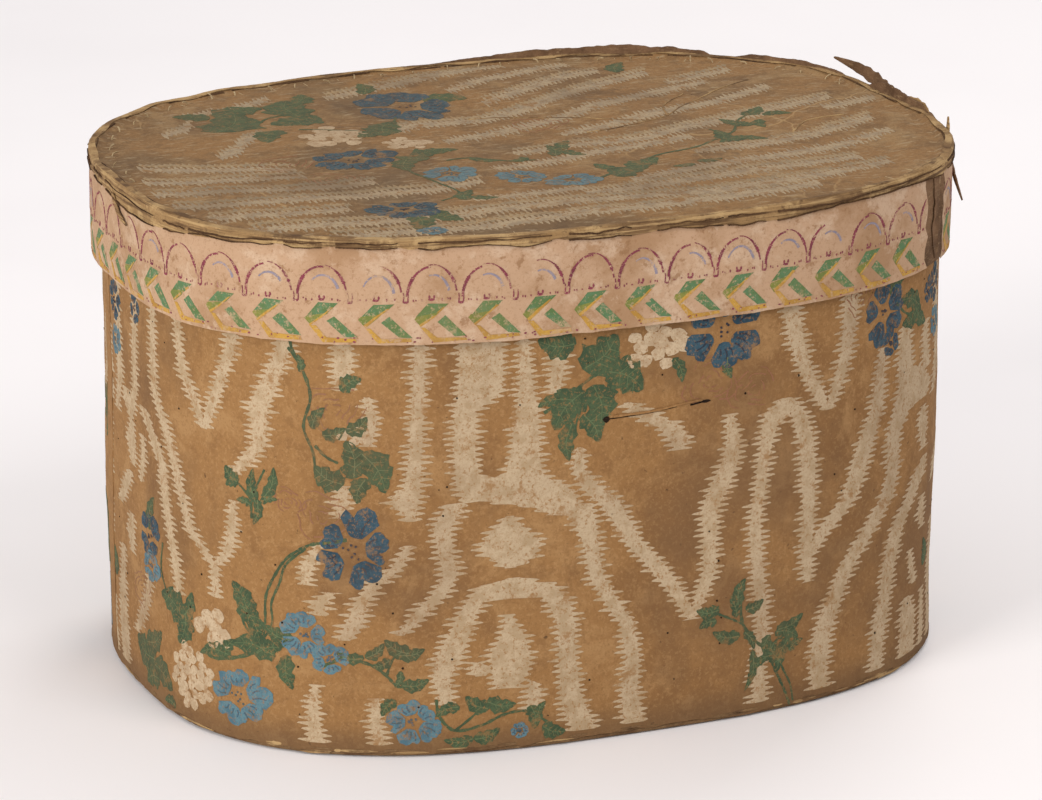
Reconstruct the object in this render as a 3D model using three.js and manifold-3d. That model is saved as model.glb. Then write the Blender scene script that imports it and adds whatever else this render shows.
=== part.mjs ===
// Oval pasteboard hat box (bandbox) with a lift-off lid, sewn with linen thread, covered outside with
// block-printed wallpaper and lined inside with plain paper. Millimetres, +Z up, the long side along X,
// the front facing -Y, and the origin on the table under the middle of the base.
import * as THREE from "three";
import { mergeVertices } from "three/addons/utils/BufferGeometryUtils.js";
import Module from "manifold-3d";

const wasm = await Module();
wasm.setup();

// Driving dimensions
const LID_LENGTH = 464; // over the rim paper
const LID_WIDTH = 356;
const BOX_HEIGHT = 284; // table to the top of the lid
const RIM_HEIGHT = 55; // top of the lid to the lower edge of the rim
const SQUARENESS = 2.7; // exponent of the oval: 2 is an ellipse, more is squarer
const WALL_TAPER = 1; // how far the wall leans in at its foot

const BOARD = 2.4; // pasteboard of the wall, rim and lid
const BASE_BOARD = 3;
const PAPER = 0.35; // wallpaper with its size and colours
const LINING = 0.3;
const PASTE = 0.1; // layer of paste between paper and board
const LID_SLACK = 1.6; // between the wall's paper and the rim's lining
const BUTT = 0.3; // between the lid's board and the rim round it

const THREAD_HALF = 0.35; // the thread is pressed to a square section
const THREAD_SINK = 0.5; // depth of the thread's middle, where it is pulled into the board
const THREAD_CLEARANCE = 0.25;
const GROOVE_HALF = THREAD_HALF + THREAD_CLEARANCE;
const STITCH_REACH = 10.5; // from the corner to a stitch's hole
const STITCHES = 20; // round the base, and round the lid
const SCARF = 26; // length of the pared joint where a strip's ends meet
const SEAM_GAP = 0.5; // between those ends

// Offsets from the reference oval, which is the outer face of the wall board at the top
const WALL_PAPER_FACE = PASTE + PAPER;
const RIM_LINING_IN = WALL_PAPER_FACE + LID_SLACK;
const RIM_IN = RIM_LINING_IN + LINING + PASTE;
const RIM_OUT = RIM_IN + BOARD;
const RIM_FACE = RIM_OUT + PASTE + PAPER;

// Heights. The lid is drawn in its own frame, whose zero is the underside of its board.
// The rim stands round the lid's board, with their upper faces flush.
const LID_TOP = BOARD + PASTE + PAPER;
const LID_SEAT = BOX_HEIGHT - LID_TOP;
const RIM_FOOT = LID_TOP - RIM_HEIGHT;
const FOLD = 0.9; // room for the thread between the lid and the top edge of the wall
const WALL_TOP = LID_SEAT - PASTE - LINING - FOLD - PAPER - PASTE;
const WALL_FOOT = BASE_BOARD + PASTE;
const TURN_IN = 12; // wallpaper turned over the wall's top edge
const TURN_DOWN = 6; // lid paper turned down over the rim

// The oval

const STEP = 3; // facets from one stitch to the next
const STATIONS = STEP * STITCHES; // facets round the oval

class Oval extends THREE.Curve {
  getPoint(t, target = new THREE.Vector3()) {
    const across = Math.cos(2 * Math.PI * t);
    const along = Math.sin(2 * Math.PI * t);
    const power = 2 / SQUARENESS;
    return target.set(
      (LID_LENGTH / 2 - RIM_FACE) * Math.sign(across) * Math.abs(across) ** power,
      (LID_WIDTH / 2 - RIM_FACE) * Math.sign(along) * Math.abs(along) ** power,
      0,
    );
  }
}

const oval = new Oval();
oval.arcLengthDivisions = 2000;
const HALF_X = oval.getPoint(0).x;
const HALF_Y = oval.getPoint(0.25).y;
const stations = oval.getSpacedPoints(STATIONS).slice(0, STATIONS);
const FACET = oval.getLength() / STATIONS;
const outward = stations.map(({ x, y }) =>
  new THREE.Vector3(
    (Math.sign(x) * Math.abs(x) ** (SQUARENESS - 1)) / HALF_X ** SQUARENESS,
    (Math.sign(y) * Math.abs(y) ** (SQUARENESS - 1)) / HALF_Y ** SQUARENESS,
    0,
  ).normalize(),
);

// A point at a station, which may lie between two of them, with 0 at the +X end and counting anticlockwise.
function place(station, offset, z = 0) {
  const from = Math.floor(station);
  const corners = [from, from + 1].map((i) => {
    const k = ((i % STATIONS) + STATIONS) % STATIONS;
    return stations[k].clone().addScaledVector(outward[k], offset);
  });
  return corners[0].lerp(corners[1], station - from).setZ(z);
}

// Points on the oval from one station to another, every whole station between them included
function run(from, to, offset) {
  const points = [place(from, offset)];
  for (let i = Math.floor(from) + 1; i < to; i++) points.push(place(i, offset));
  points.push(place(to, offset));
  return points.map((p) => new THREE.Vector2(p.x, p.y));
}

// Shapes

function raised(shape, foot, top) {
  const geometry = new THREE.ExtrudeGeometry(shape, { depth: top - foot, bevelEnabled: false });
  return geometry.translate(0, 0, foot);
}

const disc = (offset, foot, top) =>
  raised(new THREE.Shape(run(0, STATIONS, offset).slice(0, STATIONS)), foot, top);

// A strip bent once round the oval, its two ends pared so that they lie over each other at the seam
function strip(inner, outer, foot, top, seam) {
  const scarf = SCARF / FACET;
  const gap = SEAM_GAP / FACET;
  const outside = run(seam, seam + STATIONS - gap, outer);
  const inside = run(seam + scarf, seam + scarf + STATIONS - gap, inner);
  return raised(new THREE.Shape([...outside, ...inside.reverse()]), foot, top);
}

// A closed band round the oval. The profile is its section, as [offset, height] corners taken anticlockwise.
function band(profile) {
  const outline = [...profile, profile[0]].map(([offset, z]) => new THREE.Vector2(HALF_X + offset, z));
  const geometry = new THREE.LatheGeometry(outline, STATIONS);
  const position = geometry.getAttribute("position");
  for (let v = 0; v < position.count; v++) {
    const { x: radius, y: z } = outline[v % outline.length];
    const at = place(Math.floor(v / outline.length), radius - HALF_X, z);
    position.setXYZ(v, at.x, at.y, at.z);
  }
  return geometry;
}

const section = (inner, outer, foot, top) => [
  [inner, foot],
  [outer, foot],
  [outer, top],
  [inner, top],
];

// Narrows the box towards its foot, as the wall leans in
function tapered(geometry) {
  const position = geometry.getAttribute("position");
  for (let v = 0; v < position.count; v++) {
    const lean = (WALL_TAPER * (WALL_TOP - position.getZ(v))) / WALL_TOP;
    position.setX(v, position.getX(v) * (1 - lean / HALF_X));
    position.setY(v, position.getY(v) * (1 - lean / HALF_Y));
  }
  return geometry;
}

// A square thread through the given points, with mitred corners and flat ends
function thread(points, half) {
  const sides = 4;
  const heading = points.slice(1).map((p, i) => p.clone().sub(points[i]).normalize());
  const side = new THREE.Vector3(0, 0, 1).cross(heading[0]);
  if (side.lengthSq() < 1e-6) side.set(1, 0, 0);
  side.normalize();
  const corners = [];
  points.forEach((point, i) => {
    const before = heading[Math.max(i - 1, 0)];
    const after = heading[Math.min(i, heading.length - 1)];
    const cut = before.clone().add(after).normalize();
    for (let k = 0; k < sides; k++) {
      const turn = (Math.PI / 2) * (k + 0.5);
      const spoke = side.clone().applyAxisAngle(before, turn).multiplyScalar(half * Math.SQRT2);
      spoke.addScaledVector(before, -spoke.dot(cut) / before.dot(cut));
      corners.push(...spoke.add(point).toArray());
    }
    side.applyQuaternion(new THREE.Quaternion().setFromUnitVectors(before, after));
  });
  const faces = [];
  for (let i = 0; i + 1 < points.length; i++)
    for (let k = 0; k < sides; k++) {
      const [a, b] = [i * sides + k, i * sides + ((k + 1) % sides)];
      faces.push(a, b, b + sides, a, b + sides, a + sides);
    }
  const last = (points.length - 1) * sides;
  for (let k = 1; k + 1 < sides; k++) faces.push(0, k + 1, k, last, last + k, last + k + 1);
  return new THREE.BufferGeometry()
    .setAttribute("position", new THREE.Float32BufferAttribute(corners, 3))
    .setIndex(faces);
}

// Whip stitches that sew a board to a strip which meets it at a corner. `face` is the board's outer
// side, `back` its inner side, and `side` is +1 where the board is above the strip.
function whipPath({ face, back, side, stripIn, stripOut }) {
  const hole = stripOut - STITCH_REACH;
  const stripHole = face - side * STITCH_REACH;
  const inner = stripIn - GROOVE_HALF;
  const under = back - side * GROOVE_HALF;
  const points = [];
  for (let i = 0; i < STITCHES; i++) {
    const at = STEP * i + 0.5;
    points.push(
      place(at, inner, under),
      place(at, inner, stripHole),
      place(at, stripOut - THREAD_SINK, stripHole),
      place(at, stripOut - THREAD_SINK, face - side * THREAD_SINK),
      place(at, hole, face - side * THREAD_SINK),
      place(at, hole, under),
    );
    if (i < STITCHES - 1) for (let k = 1; k < STEP; k++) points.push(place(at + k, hole, under));
  }
  return points;
}

// Running stitches up the middle of a strip's seam
function seamPath(seam, inner, outer, from, to, count) {
  const middle = seam + SCARF / 2 / FACET;
  const points = [];
  for (let i = 0; i < count; i++) {
    const z = from + ((to - from) * i) / (count - 1);
    const turns = [place(middle, outer - THREAD_SINK, z), place(middle, inner + THREAD_SINK, z)];
    points.push(...(i % 2 ? turns.reverse() : turns));
  }
  return points;
}

// Booleans

function solid(geometry) {
  const bare = new THREE.BufferGeometry().setAttribute("position", geometry.getAttribute("position").clone());
  if (geometry.index) bare.setIndex(geometry.index.clone());
  const merged = mergeVertices(bare, 1e-4);
  return new wasm.Manifold(
    new wasm.Mesh({
      numProp: 3,
      vertProperties: merged.attributes.position.array,
      triVerts: new Uint32Array(merged.index.array),
    }),
  );
}

function meshOf(manifold) {
  const { vertProperties, triVerts } = manifold.getMesh();
  return new THREE.BufferGeometry()
    .setAttribute("position", new THREE.BufferAttribute(vertProperties, 3))
    .setIndex(new THREE.BufferAttribute(triVerts, 1));
}

const cut = (geometry, ...cutters) =>
  meshOf(cutters.reduce((rest, cutter) => rest.subtract(solid(cutter)), solid(geometry)));

// Materials

const material = (color, roughness = 0.9) =>
  new THREE.MeshStandardMaterial({ color, roughness, metalness: 0 });
const PASTEBOARD = material(0x8f7450, 0.95);
const WALLPAPER = material(0xb08452);
const BORDER_PAPER = material(0xd2b394);
const LINING_PAPER = material(0xcdbb96);
const LINEN_THREAD = material(0xcbb083, 0.85);

function add(group, name, geometry, look) {
  const mesh = new THREE.Mesh(geometry, look);
  mesh.name = name;
  group.add(mesh);
}

// The box

function makeBox() {
  const group = new THREE.Group();
  const seam = 0.32 * STATIONS; // at the back, left of the middle
  const stitchTop = BASE_BOARD + STITCH_REACH;
  const whip = whipPath({ face: 0, back: BASE_BOARD, side: -1, stripIn: -BOARD, stripOut: 0 });
  const running = seamPath(seam, -BOARD, 0, stitchTop + 12, WALL_TOP - 10, 12);
  const grooves = [whip, running].map((path) => tapered(thread(path, GROOVE_HALF)));

  const wall = tapered(strip(-BOARD, 0, WALL_FOOT, WALL_TOP, seam));
  add(group, "side_board", cut(wall, ...grooves), PASTEBOARD);
  add(group, "base_board", cut(tapered(disc(PAPER, 0, BASE_BOARD)), grooves[0]), PASTEBOARD);
  add(group, "base_thread", tapered(thread(whip, THREAD_HALF)), LINEN_THREAD);
  add(group, "side_seam_thread", tapered(thread(running, THREAD_HALF)), LINEN_THREAD);

  const paperFoot = WALL_FOOT + 1;
  const paperTop = WALL_TOP + PASTE + PAPER;
  const inside = -BOARD - PASTE;
  const turnFoot = WALL_TOP - TURN_IN;
  const paper = band([
    [PASTE, paperFoot],
    [WALL_PAPER_FACE, paperFoot],
    [WALL_PAPER_FACE, paperTop],
    [inside - PAPER, paperTop],
    [inside - PAPER, turnFoot],
    [inside, turnFoot],
    [inside, WALL_TOP + PASTE],
    [PASTE, WALL_TOP + PASTE],
  ]);
  add(group, "side_paper", tapered(paper), WALLPAPER);
  const lining = band(section(inside - LINING, inside, stitchTop + 2, turnFoot - PAPER));
  add(group, "side_lining", tapered(lining), LINING_PAPER);
  const floor = BASE_BOARD + PASTE;
  const floorLining = disc(-STITCH_REACH - 2, floor, floor + LINING);
  add(group, "base_lining", tapered(floorLining), LINING_PAPER);
  return group;
}

// The lid, in its own frame

function makeLid() {
  const group = new THREE.Group();
  const seam = -2.2; // at the right end, a little towards the front
  const whip = whipPath({ face: BOARD, back: 0, side: 1, stripIn: RIM_IN, stripOut: RIM_OUT });
  const running = seamPath(seam, RIM_IN, RIM_OUT, RIM_FOOT + 5, BOARD - STITCH_REACH - 4, 6);
  const grooves = [whip, running].map((path) => thread(path, GROOVE_HALF));

  const rim = strip(RIM_IN, RIM_OUT, RIM_FOOT, BOARD, seam);
  add(group, "rim_board", cut(rim, ...grooves), PASTEBOARD);
  add(group, "lid_board", cut(disc(RIM_IN - BUTT, 0, BOARD), grooves[0]), PASTEBOARD);
  add(group, "lid_thread", thread(whip, THREAD_HALF), LINEN_THREAD);
  add(group, "rim_seam_thread", thread(running, THREAD_HALF), LINEN_THREAD);

  const turnFoot = LID_TOP - TURN_DOWN;
  const skirt = band(section(RIM_OUT + PASTE, RIM_FACE, turnFoot, LID_TOP));
  const sheet = disc(RIM_OUT + PASTE + 0.5 * PAPER, BOARD + PASTE, LID_TOP);
  add(group, "lid_paper", meshOf(solid(sheet).add(solid(skirt))), WALLPAPER);
  const border = band(section(RIM_OUT + PASTE, RIM_FACE, RIM_FOOT, turnFoot - PAPER));
  add(group, "rim_paper", border, BORDER_PAPER);
  const liningEdge = RIM_OUT - STITCH_REACH - 2;
  add(group, "lid_lining", disc(liningEdge, -PASTE - LINING, -PASTE), LINING_PAPER);
  const liningTop = BOARD - STITCH_REACH - 2;
  const lining = band(section(RIM_LINING_IN, RIM_LINING_IN + LINING, RIM_FOOT, liningTop));
  add(group, "rim_lining", lining, LINING_PAPER);
  group.position.z = LID_SEAT;
  return group;
}

const hatBox = new THREE.Group();
hatBox.add(makeBox(), makeLid());
export default hatBox;
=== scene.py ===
"""An old oval hat box: pasteboard covered with block-printed wallpaper, and a lift-off lid.

Lengths are in millimetres until a mesh is made. The box's side is drawn unrolled, as (s, z): s is the
distance round the reference oval from the middle of the front, rising to the right, and z the height.
"""

import math
import random

import bpy
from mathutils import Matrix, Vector, noise
from mathutils.geometry import tessellate_polygon


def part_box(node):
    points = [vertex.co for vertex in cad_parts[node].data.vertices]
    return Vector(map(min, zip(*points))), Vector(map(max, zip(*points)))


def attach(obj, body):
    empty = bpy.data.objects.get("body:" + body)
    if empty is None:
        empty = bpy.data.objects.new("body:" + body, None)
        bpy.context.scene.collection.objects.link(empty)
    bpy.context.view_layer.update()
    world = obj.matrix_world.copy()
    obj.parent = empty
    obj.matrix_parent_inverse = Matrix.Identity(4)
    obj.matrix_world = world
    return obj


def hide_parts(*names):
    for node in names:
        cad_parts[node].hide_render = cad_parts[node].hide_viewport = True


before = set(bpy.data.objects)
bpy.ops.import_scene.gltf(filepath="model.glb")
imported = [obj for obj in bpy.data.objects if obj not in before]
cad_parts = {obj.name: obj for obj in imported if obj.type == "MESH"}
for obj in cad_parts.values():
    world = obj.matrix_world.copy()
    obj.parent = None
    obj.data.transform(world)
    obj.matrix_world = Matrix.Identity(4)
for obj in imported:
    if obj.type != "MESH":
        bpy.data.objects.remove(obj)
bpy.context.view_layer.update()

MM = 0.001

# ---------------------------------------------------------------- sizes, from the frame


def low(node):
    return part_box(node)[0] / MM


def high(node):
    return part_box(node)[1] / MM


SQUARENESS = 2.7
BOARD = 2.4
PAPER = 0.35
LINING = 0.3
FACE = 0.45  # a paper's outer face, out from its board
TURN_IN = 12.0  # how far the side's paper reaches down inside
STITCH_PITCH = 21.0
STITCH_SLANT = 5.0  # how far a whip stitch runs along the seam
WHIP_RADIUS = 0.36
RUNNING_RADIUS = 0.38
LEAN = 1.0
HALF_X = high("side_paper").x - FACE
HALF_Y = high("side_paper").y - FACE
RIM_OUT = high("rim_board").x - HALF_X
RIM_IN = high("lid_board").x + 0.3 - HALF_X
LID_TOP = high("lid_paper").z
RIM_FOOT = low("rim_board").z
WALL_TOP = high("side_board").z
WALL_FOOT = low("side_board").z
PAPER_FOOT = low("side_paper").z
BASE_TOP = high("base_board").z
LID_BOARD_TOP = high("lid_board").z
LID_BOARD_FOOT = low("lid_board").z


# ---------------------------------------------------------------- the oval


class Oval:
    """Points and outward directions by distance round the reference oval, from the middle of the front."""

    def __init__(self, half_x, half_y, power, samples=6000):
        self.rows, self.step = [], 1.0
        fine, run, last = [], 0.0, None
        for i in range(samples + 1):
            turn = 2 * math.pi * i / samples - math.pi / 2
            c, d = math.cos(turn), math.sin(turn)
            x = math.copysign(half_x * abs(c) ** (2 / power), c)
            y = math.copysign(half_y * abs(d) ** (2 / power), d)
            if last:
                run += math.hypot(x - last[0], y - last[1])
            last = (x, y)
            nx = math.copysign(abs(x) ** (power - 1) / half_x**power, x)
            ny = math.copysign(abs(y) ** (power - 1) / half_y**power, y)
            size = math.hypot(nx, ny)
            fine.append((run, x, y, nx / size, ny / size))
        self.length = run
        count = round(self.length)
        self.step = self.length / count
        k = 0
        for i in range(count + 1):
            want = min(i * self.step, run)
            while k + 1 < samples and fine[k + 1][0] < want:
                k += 1
            before, after = fine[k], fine[k + 1]
            part = (want - before[0]) / max(after[0] - before[0], 1e-9)
            self.rows.append([a + (b - a) * part for a, b in zip(before[1:], after[1:])])

    def at(self, s):
        place = (s % self.length) / self.step
        i = min(int(place), len(self.rows) - 2)
        part = place - i
        return [a + (b - a) * part for a, b in zip(self.rows[i], self.rows[i + 1])]


OVAL = Oval(HALF_X, HALF_Y, SQUARENESS)
ROUND = OVAL.length


def half_width_at(x, offset):
    """How far the oval reaches in Y at a given x."""
    part = min(abs(x) / (HALF_X + offset), 1.0)
    return (HALF_Y + offset) * (1 - part**SQUARENESS) ** (1 / SQUARENESS)


def wavy(x, y, z, size, seed=0.0):
    """Smooth noise, about -1 to 1, with waves of the given size."""
    return 2.0 * noise.noise(Vector((x / size + seed, y / size - seed, z / size + 0.37 * seed)))


def smooth(edge0, edge1, value):
    part = min(max((value - edge0) / (edge1 - edge0), 0.0), 1.0)
    return part * part * (3 - 2 * part)


# ---------------------------------------------------------------- surfaces: (u, v, out) to a point


def side(s, z, out):
    """The outer face of the side's paper."""
    x, y, nx, ny = OVAL.at(s)
    free = smooth(WALL_TOP, WALL_TOP - 70, z) * smooth(0, 30, z)
    bulge = free * (1.1 * wavy(x, y, z, 95, 3) + 0.25 * wavy(x, y, z, 24, 7)) + 0.05 * wavy(x, y, z, 7, 1)
    lean = LEAN * (WALL_TOP - z) / WALL_TOP
    reach = FACE + out + bulge
    return Vector(((x + nx * reach) * (1 - lean / HALF_X), (y + ny * reach) * (1 - lean / HALF_Y), z))


def rim(s, z, out):
    """The outer face of the lid's border paper."""
    x, y, nx, ny = OVAL.at(s)
    bulge = 0.55 * wavy(x, y, z, 60, 5) + 0.16 * wavy(x, y, z, 15, 2) + 0.04 * wavy(x, y, z, 5, 4)
    reach = RIM_OUT + FACE + out + bulge
    return Vector((x + nx * reach, y + ny * reach, z))


def edge_distance(x, y, offset=RIM_OUT):
    """About how far a point is inside the oval's edge."""
    reach = (abs(x) / (HALF_X + offset)) ** SQUARENESS + (abs(y) / (HALF_Y + offset)) ** SQUARENESS
    return (1 - reach ** (1 / SQUARENESS)) * (HALF_Y + offset)


def lid_relief(x, y):
    inside = edge_distance(x, y)
    ridge = 1.3 * smooth(5.5, 2.5, inside) * (0.7 + 0.5 * wavy(x, y, 0, 30, 9))
    gutter = -0.7 * smooth(3, 6, inside) * smooth(14, 7, inside)
    free = smooth(4, 26, inside)
    sag = free * (1.3 * wavy(x, y, 0, 110, 2) + 0.5 * wavy(x, y, 0, 34, 6)) + 0.1 * wavy(x, y, 0, 9, 3)
    return ridge + gutter + sag


def lid_face(x, y, out):
    """The upper face of the lid's paper."""
    return Vector((x, y, LID_TOP + lid_relief(x, y) + out))


# ---------------------------------------------------------------- meshes


def make(name, points, faces, look, body, slot, replaced=(), shade_smooth=True):
    """A piece from points in millimetres."""
    mesh = bpy.data.meshes.new(name)
    mesh.from_pydata([tuple(p * MM for p in point) for point in points], [], faces)
    mesh.update()
    if shade_smooth:
        mesh.shade_smooth()
        mesh.set_sharp_from_angle(angle=math.radians(35))
    mesh.materials.append(look)
    piece = bpy.data.objects.new(name, mesh)
    bpy.context.scene.collection.objects.link(piece)
    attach(piece, body)
    if replaced:
        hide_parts(*replaced)
    return piece


def steps(start, end, size):
    count = max(1, math.ceil(abs(end - start) / size))
    return [start + (end - start) * i / count for i in range(count + 1)]


def grid_solid(outer, inner, across, up, closed):
    """Points and faces of a solid between two grids, outer[i][j] and inner[i][j]."""
    points = [p for grid in (outer, inner) for row in grid for p in row]
    layer = across * up

    def at(grid_number, i, j):
        return grid_number * layer + (i % across) * up + j

    faces = []
    last = across if closed else across - 1
    for i in range(last):
        for j in range(up - 1):
            faces.append((at(0, i, j), at(0, i + 1, j), at(0, i + 1, j + 1), at(0, i, j + 1)))
            faces.append((at(1, i, j), at(1, i, j + 1), at(1, i + 1, j + 1), at(1, i + 1, j)))
        faces.append((at(0, i, 0), at(1, i, 0), at(1, i + 1, 0), at(0, i + 1, 0)))
        top = up - 1
        faces.append((at(0, i, top), at(0, i + 1, top), at(1, i + 1, top), at(1, i, top)))
    if not closed:
        end = across - 1
        for j in range(up - 1):
            faces.append((at(0, 0, j), at(0, 0, j + 1), at(1, 0, j + 1), at(1, 0, j)))
            faces.append((at(0, end, j), at(1, end, j), at(1, end, j + 1), at(0, end, j + 1)))
    return points, faces


def sheet(name, surface, us, vs, thickness, closed, **finish):
    """A bent sheet: us run round the box, vs up it. vs may be a function of u."""
    rows = [vs(u) if callable(vs) else vs for u in us]
    outer = [[surface(u, v, 0.0) for v in row] for u, row in zip(us, rows)]
    inner = [[surface(u, v, -thickness) for v in row] for u, row in zip(us, rows)]
    points, faces = grid_solid(outer, inner, len(us), len(rows[0]), closed)
    return make(name, points, faces, **finish)


def hoop(name, surface, outer, inner, foot, top, seam, lap=26.0, **finish):
    """A board strip bent round the oval, with pared ends lapped at the seam."""
    us = steps(0, ROUND - 0.5, 5.0)
    zs = [foot + (top - foot) * j / 14 for j in range(15)]
    out_rows = [[surface(seam + u, z, outer) for z in zs] for u in us]
    in_rows = [[surface(seam + lap + u, z, inner) for z in zs] for u in us]
    points, faces = grid_solid(out_rows, in_rows, len(us), len(zs), False)
    return make(name, points, faces, **finish)


def disc_faces(first, rings, count):
    """Faces of a disc whose points run ring by ring inwards, from number first, and end at its centre."""
    faces = []
    for r in range(rings):
        for i in range(count):
            a, b = first + r * count + i, first + r * count + (i + 1) % count
            if r + 1 < rings:
                faces.append((a, b, b + count, a + count))
            else:
                faces.append((a, b, first + rings * count))
    return faces


def oval_plate(name, offset, foot, top, rounding=0.5, ring_step=7.0, **finish):
    """An oval plate with rounded edges. foot and top are functions of (x, y), and give heights."""
    stations = steps(0, ROUND, 5.0)[:-1]
    rings = [0.0, 0.35 * rounding, rounding] + steps(rounding + 2, HALF_Y + offset - 8, ring_step)
    points = []
    for height, way in ((top, -1), (foot, 1)):
        for inset in rings:
            part = 1 - inset / (HALF_Y + offset)
            drop = rounding * (1 - math.sqrt(max(0.0, 1 - (1 - min(inset / rounding, 1)) ** 2)))
            for s in stations:
                x, y, nx, ny = OVAL.at(s)
                px, py = (x + nx * offset) * part, (y + ny * offset) * part
                points.append((px, py, height(px, py) + way * drop))
        points.append((0.0, 0.0, height(0.0, 0.0)))
    count, half = len(stations), len(points) // 2
    faces = disc_faces(0, len(rings), count)
    faces += [face[::-1] for face in disc_faces(half, len(rings), count)]
    for i in range(count):
        j = (i + 1) % count
        faces.append((i, half + i, half + j, j))
    return make(name, points, faces, **finish)


def tube(points, radius, sides=6):
    """Points and faces of a closed-ended tube through the given points."""
    made, faces, normal = [], [], None
    for i, p in enumerate(points):
        before = points[max(i - 1, 0)]
        after = points[min(i + 1, len(points) - 1)]
        heading = (after - before).normalized()
        if normal is None:
            normal = heading.orthogonal().normalized()
        normal = (normal - heading * normal.dot(heading)).normalized()
        other = heading.cross(normal)
        for k in range(sides):
            turn = 2 * math.pi * k / sides
            made.append(p + radius * (math.cos(turn) * normal + math.sin(turn) * other))
    for i in range(len(points) - 1):
        for k in range(sides):
            a, b = i * sides + k, i * sides + (k + 1) % sides
            faces.append((a, b, b + sides, a + sides))
    faces.append(tuple(range(sides - 1, -1, -1)))
    last = (len(points) - 1) * sides
    faces.append(tuple(last + k for k in range(sides)))
    return made, faces


def joined(parts):
    points, faces = [], []
    for more_points, more_faces in parts:
        base = len(points)
        points.extend(more_points)
        faces.extend(tuple(base + i for i in face) for face in more_faces)
    return points, faces


# ---------------------------------------------------------------- flat prints

CUT = 6.0  # a print is cut into strips of this width, so that it follows the curve of the side


class Flat:
    """A print as flat faces, before it is laid on a surface."""

    def __init__(self):
        self.points, self.faces, self.index = [], [], {}

    def vertex(self, u, v):
        key = (round(u, 2), round(v, 2))
        if key not in self.index:
            self.index[key] = len(self.points)
            self.points.append(key)
        return self.index[key]

    def face(self, corners):
        ids = []
        for u, v in corners:
            i = self.vertex(u, v)
            if i not in ids:
                ids.append(i)
        if len(ids) > 2:
            self.faces.append(tuple(ids))

    def cut_away(self, start, end):
        """Takes out the faces between two places along u."""
        kept = []
        for ids in self.faces:
            middle = sum(self.points[i][0] for i in ids) / len(ids)
            if not start < middle < end:
                kept.append(ids)
        self.faces = kept

    def polygon(self, outline):
        """Adds a filled outline, cut into strips."""
        flat = [Vector((u, v, 0)) for u, v in outline]
        for triangle in tessellate_polygon([flat]):
            corners = [tuple(outline[i]) for i in triangle]
            turn = sum(a[0] * b[1] - b[0] * a[1] for a, b in zip(corners, corners[1:] + corners[:1]))
            if abs(turn) < 1e-3:
                continue
            if turn < 0:
                corners.reverse()
            first = math.floor(min(u for u, v in corners) / CUT)
            last = math.floor(max(u for u, v in corners) / CUT)
            for k in range(first, last + 1):
                piece = clipped(clipped(corners, k * CUT, 1), (k + 1) * CUT, -1)
                if len(piece) > 2:
                    self.face(piece)


def clipped(corners, line, way):
    """The part of a convex outline on one side of a line of constant u."""
    kept = []
    for (u0, v0), (u1, v1) in zip(corners, corners[1:] + corners[:1]):
        in0, in1 = way * (u0 - line) >= 0, way * (u1 - line) >= 0
        if in0:
            kept.append((u0, v0))
        if in0 != in1:
            part = (line - u0) / (u1 - u0)
            kept.append((line, v0 + (v1 - v0) * part))
    return kept


def laid(name, flat, surface, proud, swap=False, **finish):
    """A print as a thin solid on a surface."""
    used, edges = {}, {}
    for face in flat.faces:
        for i in face:
            used.setdefault(i, len(used))
        for a, b in zip(face, face[1:] + face[:1]):
            edges[(a, b)] = edges.get((a, b), 0) + 1
    points, count = [None] * (2 * len(used)), len(used)
    for i, place in used.items():
        u, v = flat.points[i]
        points[place] = surface(u, v, proud)
        points[count + place] = surface(u, v, -0.05)
    faces = []
    for face in flat.faces:
        faces.append(tuple(used[i] for i in face))
        faces.append(tuple(count + used[i] for i in reversed(face)))
    for a, b in edges:
        if (b, a) not in edges:
            faces.append((used[b], used[a], count + used[a], count + used[b]))
    if swap:
        faces = [face[::-1] for face in faces]
    return make(name, points, faces, **finish)


# ---------------------------------------------------------------- watered streaks

TOOTH = 3.1  # from one tooth of a streak's edge to the next
TOOTH_LEVELS = (0.0, 0.3, 0.52, 0.78)  # parts of a tooth's height, and how far out it reaches at each
TOOTH_REACH = (0.0, 1.0, 0.85, 0.05)


def along(stroke, v):
    """The middle and half width of a stroke at v, or None past its ends."""
    ordered = stroke if stroke[0][1] < stroke[-1][1] else stroke[::-1]
    if not ordered[0][1] <= v <= ordered[-1][1]:
        return None
    for (u0, v0, w0), (u1, v1, w1) in zip(ordered, ordered[1:]):
        if v0 <= v <= v1:
            part = (v - v0) / max(v1 - v0, 1e-6)
            return u0 + (u1 - u0) * part, w0 + (w1 - w0) * part
    return None


def toothed(middle, half, reach, dice):
    """The two ends of a streak at one level of a row of teeth."""
    far = 1.2 * min(half, 5.5)
    left, right = dice.uniform(0.25, 1.0) * far + 0.6, dice.uniform(0.25, 1.0) * far + 0.6
    wobble = dice.uniform(-0.4, 0.4)
    half -= min(0.5 * half, 3.6)
    return middle - half - reach * left + wobble, middle + half + reach * right + wobble


def merged(found):
    """Sorted spans, joined where they nearly touch."""
    kept = []
    for a, b in sorted(found):
        if kept and a < kept[-1][1] + 0.5:
            kept[-1][1] = max(kept[-1][1], b)
        else:
            kept.append([a, b])
    return kept


def spans(strokes, v, reach, row, span_of):
    """The inked spans at v: each stroke's width, with teeth, cut to span_of(v) and merged."""
    limits = span_of(v)
    found = []
    for number, stroke in enumerate(strokes):
        place = along(stroke, v)
        if not place or not limits:
            continue
        a, b = toothed(*place, reach, random.Random(number * 7919 + row))
        a, b = max(a, limits[0]), min(b, limits[1])
        if b - a > 0.8:
            found.append([a, b])
    return merged(found)


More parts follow.
